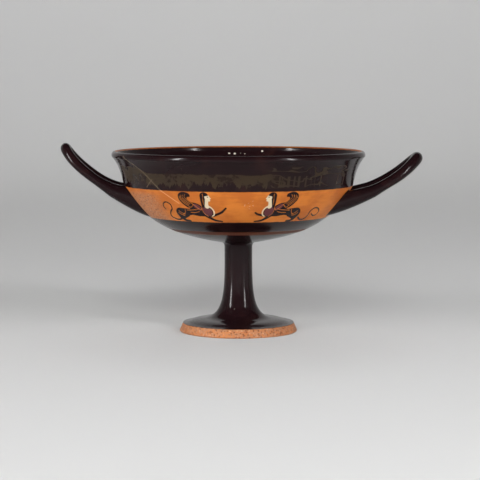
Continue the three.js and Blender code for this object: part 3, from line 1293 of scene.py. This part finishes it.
    def pictures(self, turn: Array, z: Array, r: Array, outside: Array) -> dict[str, Array]:
        """The figures' layers, each drawn only near its own place on the band.

        Args:
            turn: Degrees round from the front.
            z, r: Height and distance from the axis.
            outside: True on the outer wall.

        Returns:
            A layer for each of the painter's colours.
        """
        names = ("black", "red", "white", "cut")
        fields = {name: np.full(z.shape, self.far) for name in names}
        for figure in self.figures:
            away = (turn - figure.turn + 180.0) % 360.0 - 180.0
            u = np.radians(away) * r
            v = z - self.ground
            near = outside & (np.abs(u) < 46.0) & (v > -2.0) & (v < 27.0)
            drawn = figure.layers(u[near], v[near])
            for name in names:
                field = fields[name]
                field[near] = np.maximum(field[near], np.maximum(getattr(drawn, name), self.far))
        return fields

    def crack(self, turn: Array, z: Array, near_wall: Array) -> dict[str, Array]:
        """A mended break that runs down the lip and band at the left, with a short branch.

        Each line keeps its signed distance to one side, and a second distance that is positive
        between its two ends.

        Args:
            turn: Degrees round from the front.
            z: Height.
            near_wall: True where the crack can show.

        Returns:
            Two layers for each line.
        """
        lines = {
            "crack": ((-62.0, 144.5), (-50.5, 132.8), (-41.0, 119.4), (-31.5, 108.6)),
            "branch": ((-44.6, 127.4), (-48.6, 122.6), (-50.0, 120.4)),
        }
        fields = {}
        for name, points in lines.items():
            u, v = np.radians(turn) * self.mean_radius, z * self.lip_stretch
            path = [(math.radians(a) * self.mean_radius, b * self.lip_stretch) for a, b in points]
            signed = np.full(z.shape, 30.0)
            for (ax, ay), (bx, by) in zip(path[:-1], path[1:]):
                dx, dy = bx - ax, by - ay
                size = math.hypot(dx, dy)
                share = np.clip(((u - ax) * dx + (v - ay) * dy) / size**2, 0.0, 1.0)
                gap = np.hypot(u - ax - share * dx, v - ay - share * dy)
                side = np.where((u - ax) * dy - (v - ay) * dx > 0, 1.0, -1.0)
                signed = np.where(gap < np.abs(signed), gap * side, signed)
            total = np.hypot(path[-1][0] - path[0][0], path[-1][1] - path[0][1])
            dx, dy = (path[-1][0] - path[0][0]) / total, (path[-1][1] - path[0][1]) / total
            along = (u - path[0][0]) * dx + (v - path[0][1]) * dy
            ends = np.minimum(along, total - along)
            fields[name] = np.where(near_wall, signed, 30.0)
            fields[name + "_ends"] = np.where(near_wall, ends, -30.0)
        return fields


# ---- Materials ----


class Graph:
    """A material's nodes, written as one sum after another."""

    def __init__(self, name: str) -> None:
        """Starts a material with nothing in it but its shader and output.

        Args:
            name: Name of the material.
        """
        self.material = bpy.data.materials.new(name)
        self.material.use_nodes = True
        self.tree = self.material.node_tree
        self.shader = self.tree.nodes["Principled BSDF"]

    def node(self, kind: str, **settings: object) -> bpy.types.Node:
        """Adds a node and sets its plain settings.

        Args:
            kind: Blender's name for the node.
            settings: Its plain settings.

        Returns:
            The node.
        """
        made = self.tree.nodes.new(kind)
        for key, value in settings.items():
            setattr(made, key, value)
        return made

    def plug(self, socket: Socket, value: object) -> None:
        """Links a socket to another, or sets its value.

        Args:
            socket: The input.
            value: An output, number or colour.
        """
        if isinstance(value, Socket):
            self.tree.links.new(value, socket)
        elif isinstance(value, tuple) and len(value) == 3 and socket.type == "RGBA":
            socket.default_value = (*value, 1.0)
        else:
            socket.default_value = value

    def sum(self, operation: str, *values: object, clamp: bool = False) -> Socket:
        """One sum on numbers, such as ADD or MULTIPLY.

        Args:
            operation: Name of the sum.
            values: Outputs or numbers.
            clamp: True to hold it between 0 and 1.

        Returns:
            The result.
        """
        made = self.node("ShaderNodeMath", operation=operation, use_clamp=clamp)
        for socket, value in zip(made.inputs, values):
            self.plug(socket, value)
        return made.outputs[0]

    def vector_sum(self, operation: str, *values: object) -> bpy.types.Node:
        """One sum on vectors; its outputs are read from the node.

        Args:
            operation: Name of the sum.
            values: Outputs or vectors.

        Returns:
            The node.
        """
        made = self.node("ShaderNodeVectorMath", operation=operation)
        for socket, value in zip(made.inputs, values):
            self.plug(socket, value)
        return made

    def step(self, value: object, low: float, high: float) -> Socket:
        """A soft step from 0 at low to 1 at high.

        Args:
            value: Output to read.
            low, high: Where the step begins and ends.

        Returns:
            The share.
        """
        made = self.node("ShaderNodeMapRange", interpolation_type="SMOOTHSTEP")
        self.plug(made.inputs["Value"], value)
        made.inputs["From Min"].default_value = min(low, high)
        made.inputs["From Max"].default_value = max(low, high)
        made.inputs["To Min"].default_value = 0.0 if high > low else 1.0
        made.inputs["To Max"].default_value = 1.0 if high > low else 0.0
        return made.outputs["Result"]

    def mix(self, share: object, first: object, second: object) -> Socket:
        """A colour between two colours.

        Args:
            share: 0 for the first, 1 for the second.
            first, second: The colours.

        Returns:
            The colour.
        """
        made = self.node("ShaderNodeMix", data_type="RGBA")
        self.plug(made.inputs["Factor"], share)
        self.plug(made.inputs[6], first)
        self.plug(made.inputs[7], second)
        return made.outputs[2]

    def blend(self, share: object, first: object, second: object) -> Socket:
        """A number between two numbers.

        Args:
            share: 0 for the first, 1 for the second.
            first, second: The numbers.

        Returns:
            The number.
        """
        made = self.node("ShaderNodeMix", data_type="FLOAT")
        self.plug(made.inputs[0], share)
        self.plug(made.inputs[2], first)
        self.plug(made.inputs[3], second)
        return made.outputs[0]

    def noise(self, vector: object, scale: float, detail: float = 2.0, rough: float = 0.5,
              bent: float = 0.0) -> Socket:
        """Soft noise between 0 and 1.

        Args:
            vector: Place to read.
            scale, detail, rough, bent: Its size, layers, roughness and distortion.

        Returns:
            The noise.
        """
        made = self.node("ShaderNodeTexNoise")
        self.plug(made.inputs["Vector"], vector)
        made.inputs["Scale"].default_value = scale
        made.inputs["Detail"].default_value = detail
        made.inputs["Roughness"].default_value = rough
        made.inputs["Distortion"].default_value = bent
        return made.outputs["Fac"]

    def spots(self, vector: object, scale: float) -> Socket:
        """Distance to the nearest of many scattered points.

        Args:
            vector: Place to read.
            scale: How close the points stand.

        Returns:
            The distance.
        """
        made = self.node("ShaderNodeTexVoronoi")
        self.plug(made.inputs["Vector"], vector)
        made.inputs["Scale"].default_value = scale
        return made.outputs["Distance"]

    def field(self, name: str) -> Socket:
        """One of the painter's layers."""
        return self.node("ShaderNodeAttribute", attribute_name=name).outputs["Fac"]


@dataclass(frozen=True)
class Slip:
    """Black gloss slip: nearly black, a little warm, thinner and browner in places."""

    colour: tuple = (0.0105, 0.0040, 0.0048)
    thin: tuple = (0.020, 0.0075, 0.0070)
    film: tuple = (0.030, 0.0185, 0.0095)
    gloss: float = 0.11
    dull: float = 0.42
    specular: float = 0.17


@dataclass(frozen=True)
class Clay:
    """Fired clay left bare: orange, lightly polished, paler and pinker where it is worn."""

    colour: tuple = (0.58, 0.176, 0.026)
    deep: tuple = (0.44, 0.118, 0.018)
    worn: tuple = (0.37, 0.170, 0.088)
    pale: tuple = (0.62, 0.38, 0.25)
    pit: tuple = (0.10, 0.032, 0.016)
    # painted shade: the thin line below the band faces down away from the lights and is darkened to this
    # maroon; the rim's inner edge is darkened towards it as well
    maroon: tuple = (0.060, 0.016, 0.012)
    rough: float = 0.5


@dataclass(frozen=True)
class AddedColours:
    """The painter's red and white, laid over the black."""

    red: tuple = (0.115, 0.030, 0.036)
    white: tuple = (0.66, 0.55, 0.38)
    # pale marks: chips on the far rim, two specks on the stem and a pale line beside the left handle's
    # upper root
    pale_mark: tuple = (0.62, 0.56, 0.48)
    crack_on_slip: tuple = (0.13, 0.095, 0.06)
    crack_on_clay: tuple = (0.72, 0.36, 0.17)
    rough: float = 0.55
    pale_mark_rough: float = 0.7


@dataclass(frozen=True)
class Zones:
    """Soft limits of worn parts, of the painted shade on the thin line and of the darker rim edge: heights
    in millimetres, or shares to the right.
    """

    foot_side: tuple = (9.0, 7.5)
    # where the painted shade on the thin line below the band begins and ends
    thin_line_top: tuple = (88.0, 87.0)
    thin_line_bottom: tuple = (80.0, 81.0)
    rim_inside: tuple = (144.5, 145.2)
    worn_left: tuple = (-0.64, -0.80)
    worn_top: tuple = (118.0, 113.0)


@dataclass(frozen=True)
class Masks:
    """Shares from 0 to 1 that several parts of the finish use."""

    fine: Socket
    broad: Socket
    wheel: Socket
    speckle: Socket
    worn: Socket
    pits: Socket
    clay: Socket
    film: Socket
    ink: Socket
    red: Socket
    white: Socket
    cut: Socket
    cracks: Socket
    pale_marks: Socket


@dataclass(frozen=True)
class CupSkin:
    """The cup's whole finish: slip, clay, added colours and age on one skin."""

    axis_x: float
    slip: Slip = Slip()
    clay: Clay = Clay()
    added: AddedColours = AddedColours()
    zones: Zones = Zones()

    def places(self, g: Graph) -> dict[str, Socket]:
        """Places on the cup in millimetres: the point, its parts, and its direction round the axis.

        Args:
            g: The material's graph.

        Returns:
            Outputs by name.
        """
        frame_point = g.node("ShaderNodeTexCoord").outputs["Object"]
        shift = g.node("ShaderNodeMapping")
        g.plug(shift.inputs["Vector"], frame_point)
        shift.inputs["Location"].default_value = (-self.axis_x, 0.0, 0.0)
        shift.inputs["Scale"].default_value = (1000.0, 1000.0, 1000.0)
        point = shift.outputs["Vector"]
        parts = g.node("ShaderNodeSeparateXYZ")
        g.plug(parts.inputs[0], point)
        flat = g.vector_sum("MULTIPLY", point, (1.0, 1.0, 0.0)).outputs[0]
        round_way = g.vector_sum("NORMALIZE", flat).outputs[0]
        ways = g.node("ShaderNodeSeparateXYZ")
        g.plug(ways.inputs[0], round_way)
        meridian = g.vector_sum("SCALE", round_way)
        meridian.inputs["Scale"].default_value = 95.0
        squashed = g.vector_sum("MULTIPLY", point, (1.0, 1.0, 6.0)).outputs[0]
        return {
            "point": point,
            "x": parts.outputs[0],
            "y": parts.outputs[1],
            "z": parts.outputs[2],
            "right": ways.outputs[0],
            "front": g.sum("MULTIPLY", ways.outputs[1], -1.0),
            "meridian": meridian.outputs[0],
            "wheel": squashed,
        }

    def film(self, g: Graph, at: dict[str, Socket]) -> Socket:
        """The dull brown film on the front of the lip, with ragged drips along its lower edge.

        Args:
            g: The material's graph.
            at: Places on the cup.

        Returns:
            The share of film.
        """
        drips = g.noise(at["meridian"], 0.30, 3.0, 0.6)
        lower = g.sum("MULTIPLY_ADD", drips, 19.0, 113.8)
        above = g.step(g.sum("SUBTRACT", at["z"], lower), -0.5, 0.7)
        wave = g.noise(at["meridian"], 0.055, 5.0, 0.65)
        left = g.step(at["right"], -0.70, -0.86)
        upper = g.sum("MULTIPLY_ADD", wave, 5.0, g.sum("MULTIPLY_ADD", left, 4.5, 129.6))
        below = g.step(g.sum("SUBTRACT", upper, at["z"]), -0.5, 0.7)
        sides = g.sum(
            "MULTIPLY", g.step(at["right"], -0.97, -0.93), g.step(at["right"], 0.36, 0.22)
        )
        solid = g.sum("MULTIPLY", g.sum("MULTIPLY", above, below), sides)
        gaps = g.step(g.noise(at["point"], 0.11, 4.0, 0.65), 0.40, 0.52)
        solid = g.sum("MULTIPLY", solid, g.blend(gaps, 0.35, 1.0))
        stretched = g.vector_sum("MULTIPLY", at["point"], (0.4, 0.4, 1.0)).outputs[0]
        veins = g.sum("ABSOLUTE", g.sum("SUBTRACT", g.noise(stretched, 0.13, 1.0, 0.4, 0.6), 0.5))
        runs = g.step(g.noise(at["meridian"], 0.42, 1.0, 0.4), 0.57, 0.63)
        fall = g.step(g.sum("ABSOLUTE", g.sum("SUBTRACT", at["z"], 126.0)), 5.0, 4.0)
        strokes = g.sum("MAXIMUM", g.step(veins, 0.042, 0.018), g.sum("MULTIPLY", runs, fall))
        range_z = g.sum("MULTIPLY", g.step(at["z"], 121.0, 123.0), g.step(at["z"], 138.5, 136.5))
        right = g.sum("MULTIPLY", g.step(at["right"], 0.20, 0.32), g.step(at["right"], 0.93, 0.86))
        streaks = g.sum("MULTIPLY", g.sum("MULTIPLY", strokes, range_z), right)
        front = g.step(at["front"], 0.02, 0.12)
        both = g.sum("MAXIMUM", solid, g.sum("MULTIPLY", streaks, 0.95))
        return g.sum("MULTIPLY", both, front)

    def line(self, g: Graph, name: str, wide: float) -> Socket:
        """A thin crack line from the painter's signed distance, between its two ends.

        Args:
            g: The material's graph.
            name: Name of the layer.
            wide: Half width of the line.

        Returns:
            The share of crack.
        """
        away = g.sum("ABSOLUTE", g.field(name))
        between = g.step(g.field(name + "_ends"), 0, 1)
        return g.sum("MULTIPLY", g.step(away, wide, wide * 0.35), between)

    def pale_marks(self, g: Graph, at: dict[str, Socket]) -> Socket:
        """Small pale marks at named places, chips on the far rim among them, and worn flecks, broken up by
        noise.

        Args:
            g: The material's graph.
            at: Places on the cup.

        Returns:
            The share of pale mark.
        """
        # places on the far rim's inner face, two specks on the stem and, last, a pale line on the wall
        # beside the left handle's upper root
        places = (
            ((20.4, 95.2, 142.2), 0.9), ((22.2, 94.5, 139.8), 0.85), ((-8.0, 95.5, 140.6), 1.0),
            ((-3.2, 95.6, 140.3), 1.1), ((1.6, 95.6, 140.8), 0.9), ((5.6, 95.4, 140.2), 0.8),
            ((-11.0, 95.0, 143.6), 0.7), ((4.4, 95.8, 143.4), 0.8), ((-5.4, -10.0, 36.2), 0.3),
            ((-3.2, -15.6, 19.6), 0.3), ((-88.6, -26.4, 116.4), 0.9), ((-87.6, -27.4, 114.6), 0.8),
        )
        ragged = g.noise(at["point"], 1.3, 2.0)
        best = None
        for place, size in places:
            gap = g.vector_sum("DISTANCE", at["point"], place).outputs["Value"]
            inside = g.step(g.sum("ADD", gap, ragged), size + 0.60, size + 0.20)
            best = inside if best is None else g.sum("MAXIMUM", best, inside)
        thick = g.sum("MULTIPLY", g.step(at["z"], 103.0, 105.0), g.step(at["z"], 113.0, 111.0))
        across = g.sum("MULTIPLY", g.step(at["right"], 0.02, 0.05), g.step(at["right"], 0.17, 0.13))
        zone = g.sum("MULTIPLY", g.sum("MULTIPLY", thick, across), g.step(at["front"], 0.0, 0.5))
        flecks = g.step(g.noise(at["point"], 0.75, 2.0), 0.665, 0.70)
        return g.sum("MAXIMUM", best, g.sum("MULTIPLY", g.sum("MULTIPLY", flecks, zone), 0.6))

    def masks(self, g: Graph, at: dict[str, Socket]) -> Masks:
        """Works out every share that the colour, the gloss and the relief have in common.

        Args:
            g: The material's graph.
            at: Places on the cup, from places().

        Returns:
            The shares.
        """
        point = at["point"]
        broad = g.noise(point, 0.045, 3.0, 0.55)
        wheel = g.noise(at["wheel"], 0.10, 4.0, 0.6)
        speckle = g.noise(point, 0.55, 4.0, 0.7)
        wobble = g.sum("MULTIPLY", g.sum("SUBTRACT", g.noise(point, 0.35, 2.0), 0.5), 0.7)
        left_end = g.sum(
            "MULTIPLY",
            g.step(at["right"], *self.zones.worn_left),
            g.step(at["z"], *self.zones.worn_top),
        )
        foot = g.step(at["z"], *self.zones.foot_side)
        pits = g.step(g.spots(point, 0.50), 0.46, 0.26)
        ink = g.step(g.field("black"), -0.16, 0.16)
        return Masks(
            fine=g.noise(point, 0.9, 3.0, 0.55),
            broad=broad,
            wheel=wheel,
            speckle=speckle,
            worn=g.sum("MAXIMUM", g.sum("MULTIPLY", left_end, 0.9), foot),
            pits=g.sum("MULTIPLY", pits, g.step(speckle, 0.58, 0.50)),
            clay=g.step(g.sum("ADD", g.field("clay"), wobble), -0.18, 0.18),
            film=self.film(g, at),
            ink=ink,
            red=g.sum("MULTIPLY", g.step(g.field("red"), -0.15, 0.15), ink),
            white=g.step(g.field("white"), -0.15, 0.15),
            cut=g.sum("MULTIPLY", g.step(g.field("cut"), -0.12, 0.12), ink),
            cracks=g.sum("MAXIMUM", self.line(g, "crack", 0.62), self.line(g, "branch", 0.5)),
            pale_marks=self.pale_marks(g, at),
        )

    def clay_colour(self, g: Graph, at: dict[str, Socket], m: Masks) -> Socket:
        """The bare clay: two oranges, and where it is worn a pinker one with pale specks and pits.

        Args:
            g: The material's graph.
            at: Places on the cup.
            m: The shares.

        Returns:
            The colour.
        """
        deeper = g.step(g.sum("ADD", m.broad, g.sum("MULTIPLY", m.wheel, 0.4)), 0.55, 0.85)
        orange = g.mix(deeper, self.clay.colour, self.clay.deep)
        patchy = g.blend(g.step(m.speckle, 0.44, 0.58), 0.45, 1.0)
        orange = g.mix(g.sum("MULTIPLY", patchy, m.worn), orange, self.clay.worn)
        pale = g.step(g.noise(at["point"], 0.8, 3.0, 0.6), 0.60, 0.66)
        pale = g.sum("MULTIPLY", g.sum("MULTIPLY", pale, m.worn), 0.7)
        orange = g.mix(pale, orange, self.clay.pale)
        pitted = g.sum("MULTIPLY", g.sum("MULTIPLY", m.pits, m.worn), 0.75)
        return g.mix(pitted, orange, self.clay.pit)

    def thin_line_shade_and_dark_rim(self, g: Graph, at: dict[str, Socket]) -> Socket:
        """How far the thin line below the band is painted in shade, as it faces down away from the lights,
        and how far the rim's inner edge is darkened.

        Args:
            g: The material's graph.
            at: Places on the cup.

        Returns:
            The share of painted shade on the line and of darker rim edge.
        """
        # painted shade on the thin line below the band, kept off the drinking side
        below = g.step(at["z"], *self.zones.thin_line_top)
        above = g.step(at["z"], *self.zones.thin_line_bottom)
        line = g.sum("MULTIPLY", g.sum("MULTIPLY", below, above), 0.86)
        line = g.sum("MULTIPLY", line, g.sum("SUBTRACT", 1.0, g.field("inner")))
        rim = g.sum("MULTIPLY", g.step(at["z"], *self.zones.rim_inside), 0.55)
        return g.sum("MAXIMUM", line, rim)

    def colour(self, g: Graph, at: dict[str, Socket], m: Masks) -> Socket:
        """The whole skin's colour, from the slip and clay up to the pale marks.

        Args:
            g: The material's graph.
            at: Places on the cup.
            m: The shares.

        Returns:
            The colour.
        """
        black = g.mix(g.step(m.broad, 0.5, 0.75), self.slip.colour, self.slip.thin)
        black = g.mix(m.film, black, self.slip.film)
        colour = g.mix(m.clay, black, self.clay_colour(g, at, m))
        colour = g.mix(g.sum("MULTIPLY", m.ink, m.clay), colour, black)
        red = g.sum("MULTIPLY", m.red, g.blend(m.fine, 0.75, 1.0))
        colour = g.mix(red, colour, self.added.red)
        colour = g.mix(m.white, colour, self.added.white)
        colour = g.mix(g.sum("MULTIPLY", m.cut, 0.8), colour, self.clay.colour)
        # painted shade darkens the thin line below the band towards maroon; the rim's inner edge is
        # darkened the same way
        painted_shade_and_dark_rim = g.sum("MULTIPLY", self.thin_line_shade_and_dark_rim(g, at), m.clay)
        colour = g.mix(painted_shade_and_dark_rim, colour, self.clay.maroon)
        broken = g.mix(m.clay, self.added.crack_on_slip, self.added.crack_on_clay)
        colour = g.mix(g.sum("MULTIPLY", m.cracks, 0.75), colour, broken)
        return g.mix(m.pale_marks, colour, self.added.pale_mark)

    def roughness(self, g: Graph, m: Masks) -> Socket:
        """Gloss on the slip, a duller film, and matt clay, added colours and breaks.

        Args:
            g: The material's graph.
            m: The shares.

        Returns:
            The roughness.
        """
        gloss = g.blend(g.step(m.wheel, 0.35, 0.8), self.slip.gloss, self.slip.gloss + 0.12)
        rough = g.blend(m.film, gloss, self.slip.dull)
        bare = g.sum("MULTIPLY", m.clay, g.sum("SUBTRACT", 1.0, m.ink))
        rough = g.blend(bare, rough, self.clay.rough)
        matt = g.sum("MAXIMUM", g.sum("MAXIMUM", m.red, m.white), m.cracks)
        rough = g.blend(matt, rough, self.added.rough)
        return g.blend(m.pale_marks, rough, self.added.pale_mark_rough)

    def relief(self, g: Graph, m: Masks) -> Socket:
        """Wheel marks and fine grain, sunk at pits, cracks and pale marks.

        Args:
            g: The material's graph.
            m: The shares.

        Returns:
            The bent normal.
        """
        height = g.sum("MULTIPLY", m.wheel, 0.5)
        height = g.sum("MULTIPLY_ADD", m.fine, 0.12, height)
        height = g.sum("MULTIPLY_ADD", g.sum("MULTIPLY", m.pits, m.worn), -0.6, height)
        height = g.sum("MULTIPLY_ADD", m.cracks, -0.5, height)
        height = g.sum("MULTIPLY_ADD", m.pale_marks, -0.6, height)
        bump = g.node("ShaderNodeBump")
        bump.inputs["Strength"].default_value = 0.35
        bump.inputs["Distance"].default_value = 0.0003
        g.plug(bump.inputs["Height"], height)
        return bump.outputs["Normal"]

    def build(self) -> bpy.types.Material:
        """The finished material.

        Returns:
            A material that reads the painter's layers and places on the cup.
        """
        g = Graph("black_gloss_slip_and_clay")
        at = self.places(g)
        m = self.masks(g, at)
        g.plug(g.shader.inputs["Base Color"], self.colour(g, at, m))
        g.plug(g.shader.inputs["Roughness"], self.roughness(g, m))
        g.shader.inputs["Specular IOR Level"].default_value = self.slip.specular
        g.plug(g.shader.inputs["Normal"], self.relief(g, m))
        return g.material


# ---- Studio ----


@dataclass(frozen=True)
class Studio:
    """Pale floor, soft lights and the camera at the cup's front."""

    focal_mm: float = 135.27
    distance: float = 1.45866
    height: float = 0.20778
    pitch: float = 0.09146
    sideways: float = -0.00128

    def camera(self) -> None:
        """Sets the camera a little above the rim, looking down at the cup's front."""
        data = bpy.data.cameras.new("camera")
        data.sensor_width = 36.0
        data.lens = self.focal_mm
        data.clip_start, data.clip_end = 0.05, 50.0
        camera = bpy.data.objects.new("camera", data)
        camera.location = (self.sideways, -self.distance, self.height)
        camera.rotation_euler = (math.pi / 2 - self.pitch, 0.0, 0.0)
        bpy.context.scene.collection.objects.link(camera)
        bpy.context.scene.camera = camera

    def floor(self) -> bpy.types.Object:
        """A wide round floor whose rim curves up all round, in one pale colour.

        Returns:
            The floor.
        """
        radius, rise = 3.2, 1.6
        flat = np.array([(r, 0.0) for r in np.linspace(0.0, radius - rise, 12)[1:]])
        turn = np.linspace(0, math.pi / 2, 16)[1:]
        cove = np.stack([radius - rise + rise * np.sin(turn), rise - rise * np.cos(turn)], axis=1)
        wall = np.array([(radius, rise + 0.4), (radius, rise + 0.9)])
        profile = np.vstack([flat, cove, wall])
        n = 96
        angle = np.arange(n) * 2 * math.pi / n
        ring = np.stack(
            [
                profile[:, :1] * np.cos(angle),
                profile[:, :1] * np.sin(angle),
                np.broadcast_to(profile[:, 1:], (len(profile), n)),
            ],
            axis=-1,
        )
        points = np.vstack([ring.reshape(-1, 3), [(0.0, 0.0, 0.0)]]) / MM
        here = np.arange(n)
        fan = np.stack([np.full(n, len(points) - 1), (here + 1) % n, here], axis=-1)
        faces = [grid_faces(len(profile), n, 0)[:, ::-1], fan]
        floor = mesh_object("studio_floor", points, faces)
        floor.data.polygons.foreach_set("use_smooth", np.ones(len(floor.data.polygons), bool))
        material = bpy.data.materials.new("studio_grey")
        material.use_nodes = True
        shader = material.node_tree.nodes["Principled BSDF"]
        shader.inputs["Base Color"].default_value = (0.43, 0.43, 0.427, 1.0)
        shader.inputs["Roughness"].default_value = 0.9
        shader.inputs["Specular IOR Level"].default_value = 0.1
        floor.data.materials.append(material)
        return floor

    def light(self, name: str, azimuth: float, elevation: float, away: float, size: float,
              tall: float, power: float) -> bpy.types.Object:
        """A soft box at an angle from the camera's side, turned to the cup.

        Args:
            name: Name of the light.
            azimuth, elevation: Its direction in degrees.
            away: Distance in metres.
            size, tall: Width and height in metres.
            power: Watts.

        Returns:
            The light, so that it can be kept to one receiver.
        """
        data = bpy.data.lights.new(name, "AREA")
        data.shape = "RECTANGLE"
        data.size, data.size_y = size, tall
        data.energy = power
        light = bpy.data.objects.new(name, data)
        a, e = math.radians(azimuth), math.radians(elevation)
        out = Vector((math.sin(a) * math.cos(e), -math.cos(a) * math.cos(e), math.sin(e)))
        target = Vector((0.0, 0.0, 0.09))
        light.location = target + out * away
        light.rotation_mode = "QUATERNION"
        light.rotation_quaternion = (-out).to_track_quat("-Z", "Y")
        bpy.context.scene.collection.objects.link(light)
        return light

    def build(self) -> None:
        """Places the camera, floor, lights and the even light of the room."""
        self.camera()
        floor = self.floor()
        self.light("soft_box_left", -56, 16, 2.0, 0.12, 1.1, 27)
        self.light("soft_box_right", 47, 18, 2.0, 0.12, 1.1, 19)
        fill = self.light("front_fill", -4, 30, 2.6, 1.0, 1.0, 34)
        fill.visible_glossy = False
        backdrop = self.light("backdrop_light", 0, 62, 2.6, 1.2, 1.2, 28)
        backdrop.location.y += 3.0
        only_floor = bpy.data.collections.new("backdrop_only")
        only_floor.objects.link(floor)
        backdrop.light_linking.receiver_collection = only_floor
        world = bpy.data.worlds.new("room")
        world.use_nodes = True
        background = world.node_tree.nodes["Background"]
        background.inputs["Color"].default_value = (1.0, 1.0, 1.0, 1.0)
        background.inputs["Strength"].default_value = 0.22
        world.cycles_visibility.glossy = False
        bpy.context.scene.world = world


def main() -> None:
    """Builds the cup and its studio in order."""
    logging.basicConfig(level=logging.INFO, format="%(message)s")
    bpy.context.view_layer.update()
    Studio().build()
    LOG.info("studio: floor, lights and camera")
    body = CupBody(axis_x=AXIS_X)
    wall = Wall(body)
    turned = body.build()
    LOG.info("turned body: %d faces", len(turned.data.polygons))
    loops = [left_handle(), right_handle()]
    handles = [loop.build(wall, AXIS_X) for loop in loops]
    cup = joined_cup(turned, handles)
    LOG.info("cup: %d faces", len(cup.data.polygons))
    cup.data.polygons.foreach_set("use_smooth", np.ones(len(cup.data.polygons), bool))
    cup.data.set_sharp_from_angle(angle=math.radians(30))
    Painter(body, loops).paint(cup)
    cup.data.materials.append(CupSkin(AXIS_X).build())
    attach(cup, "root")
    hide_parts("kylix")
    LOG.info("kylix_cup: rides on root and replaces kylix")
    bpy.context.scene.view_settings.view_transform = "Standard"


if __name__ == "__main__":
    main()
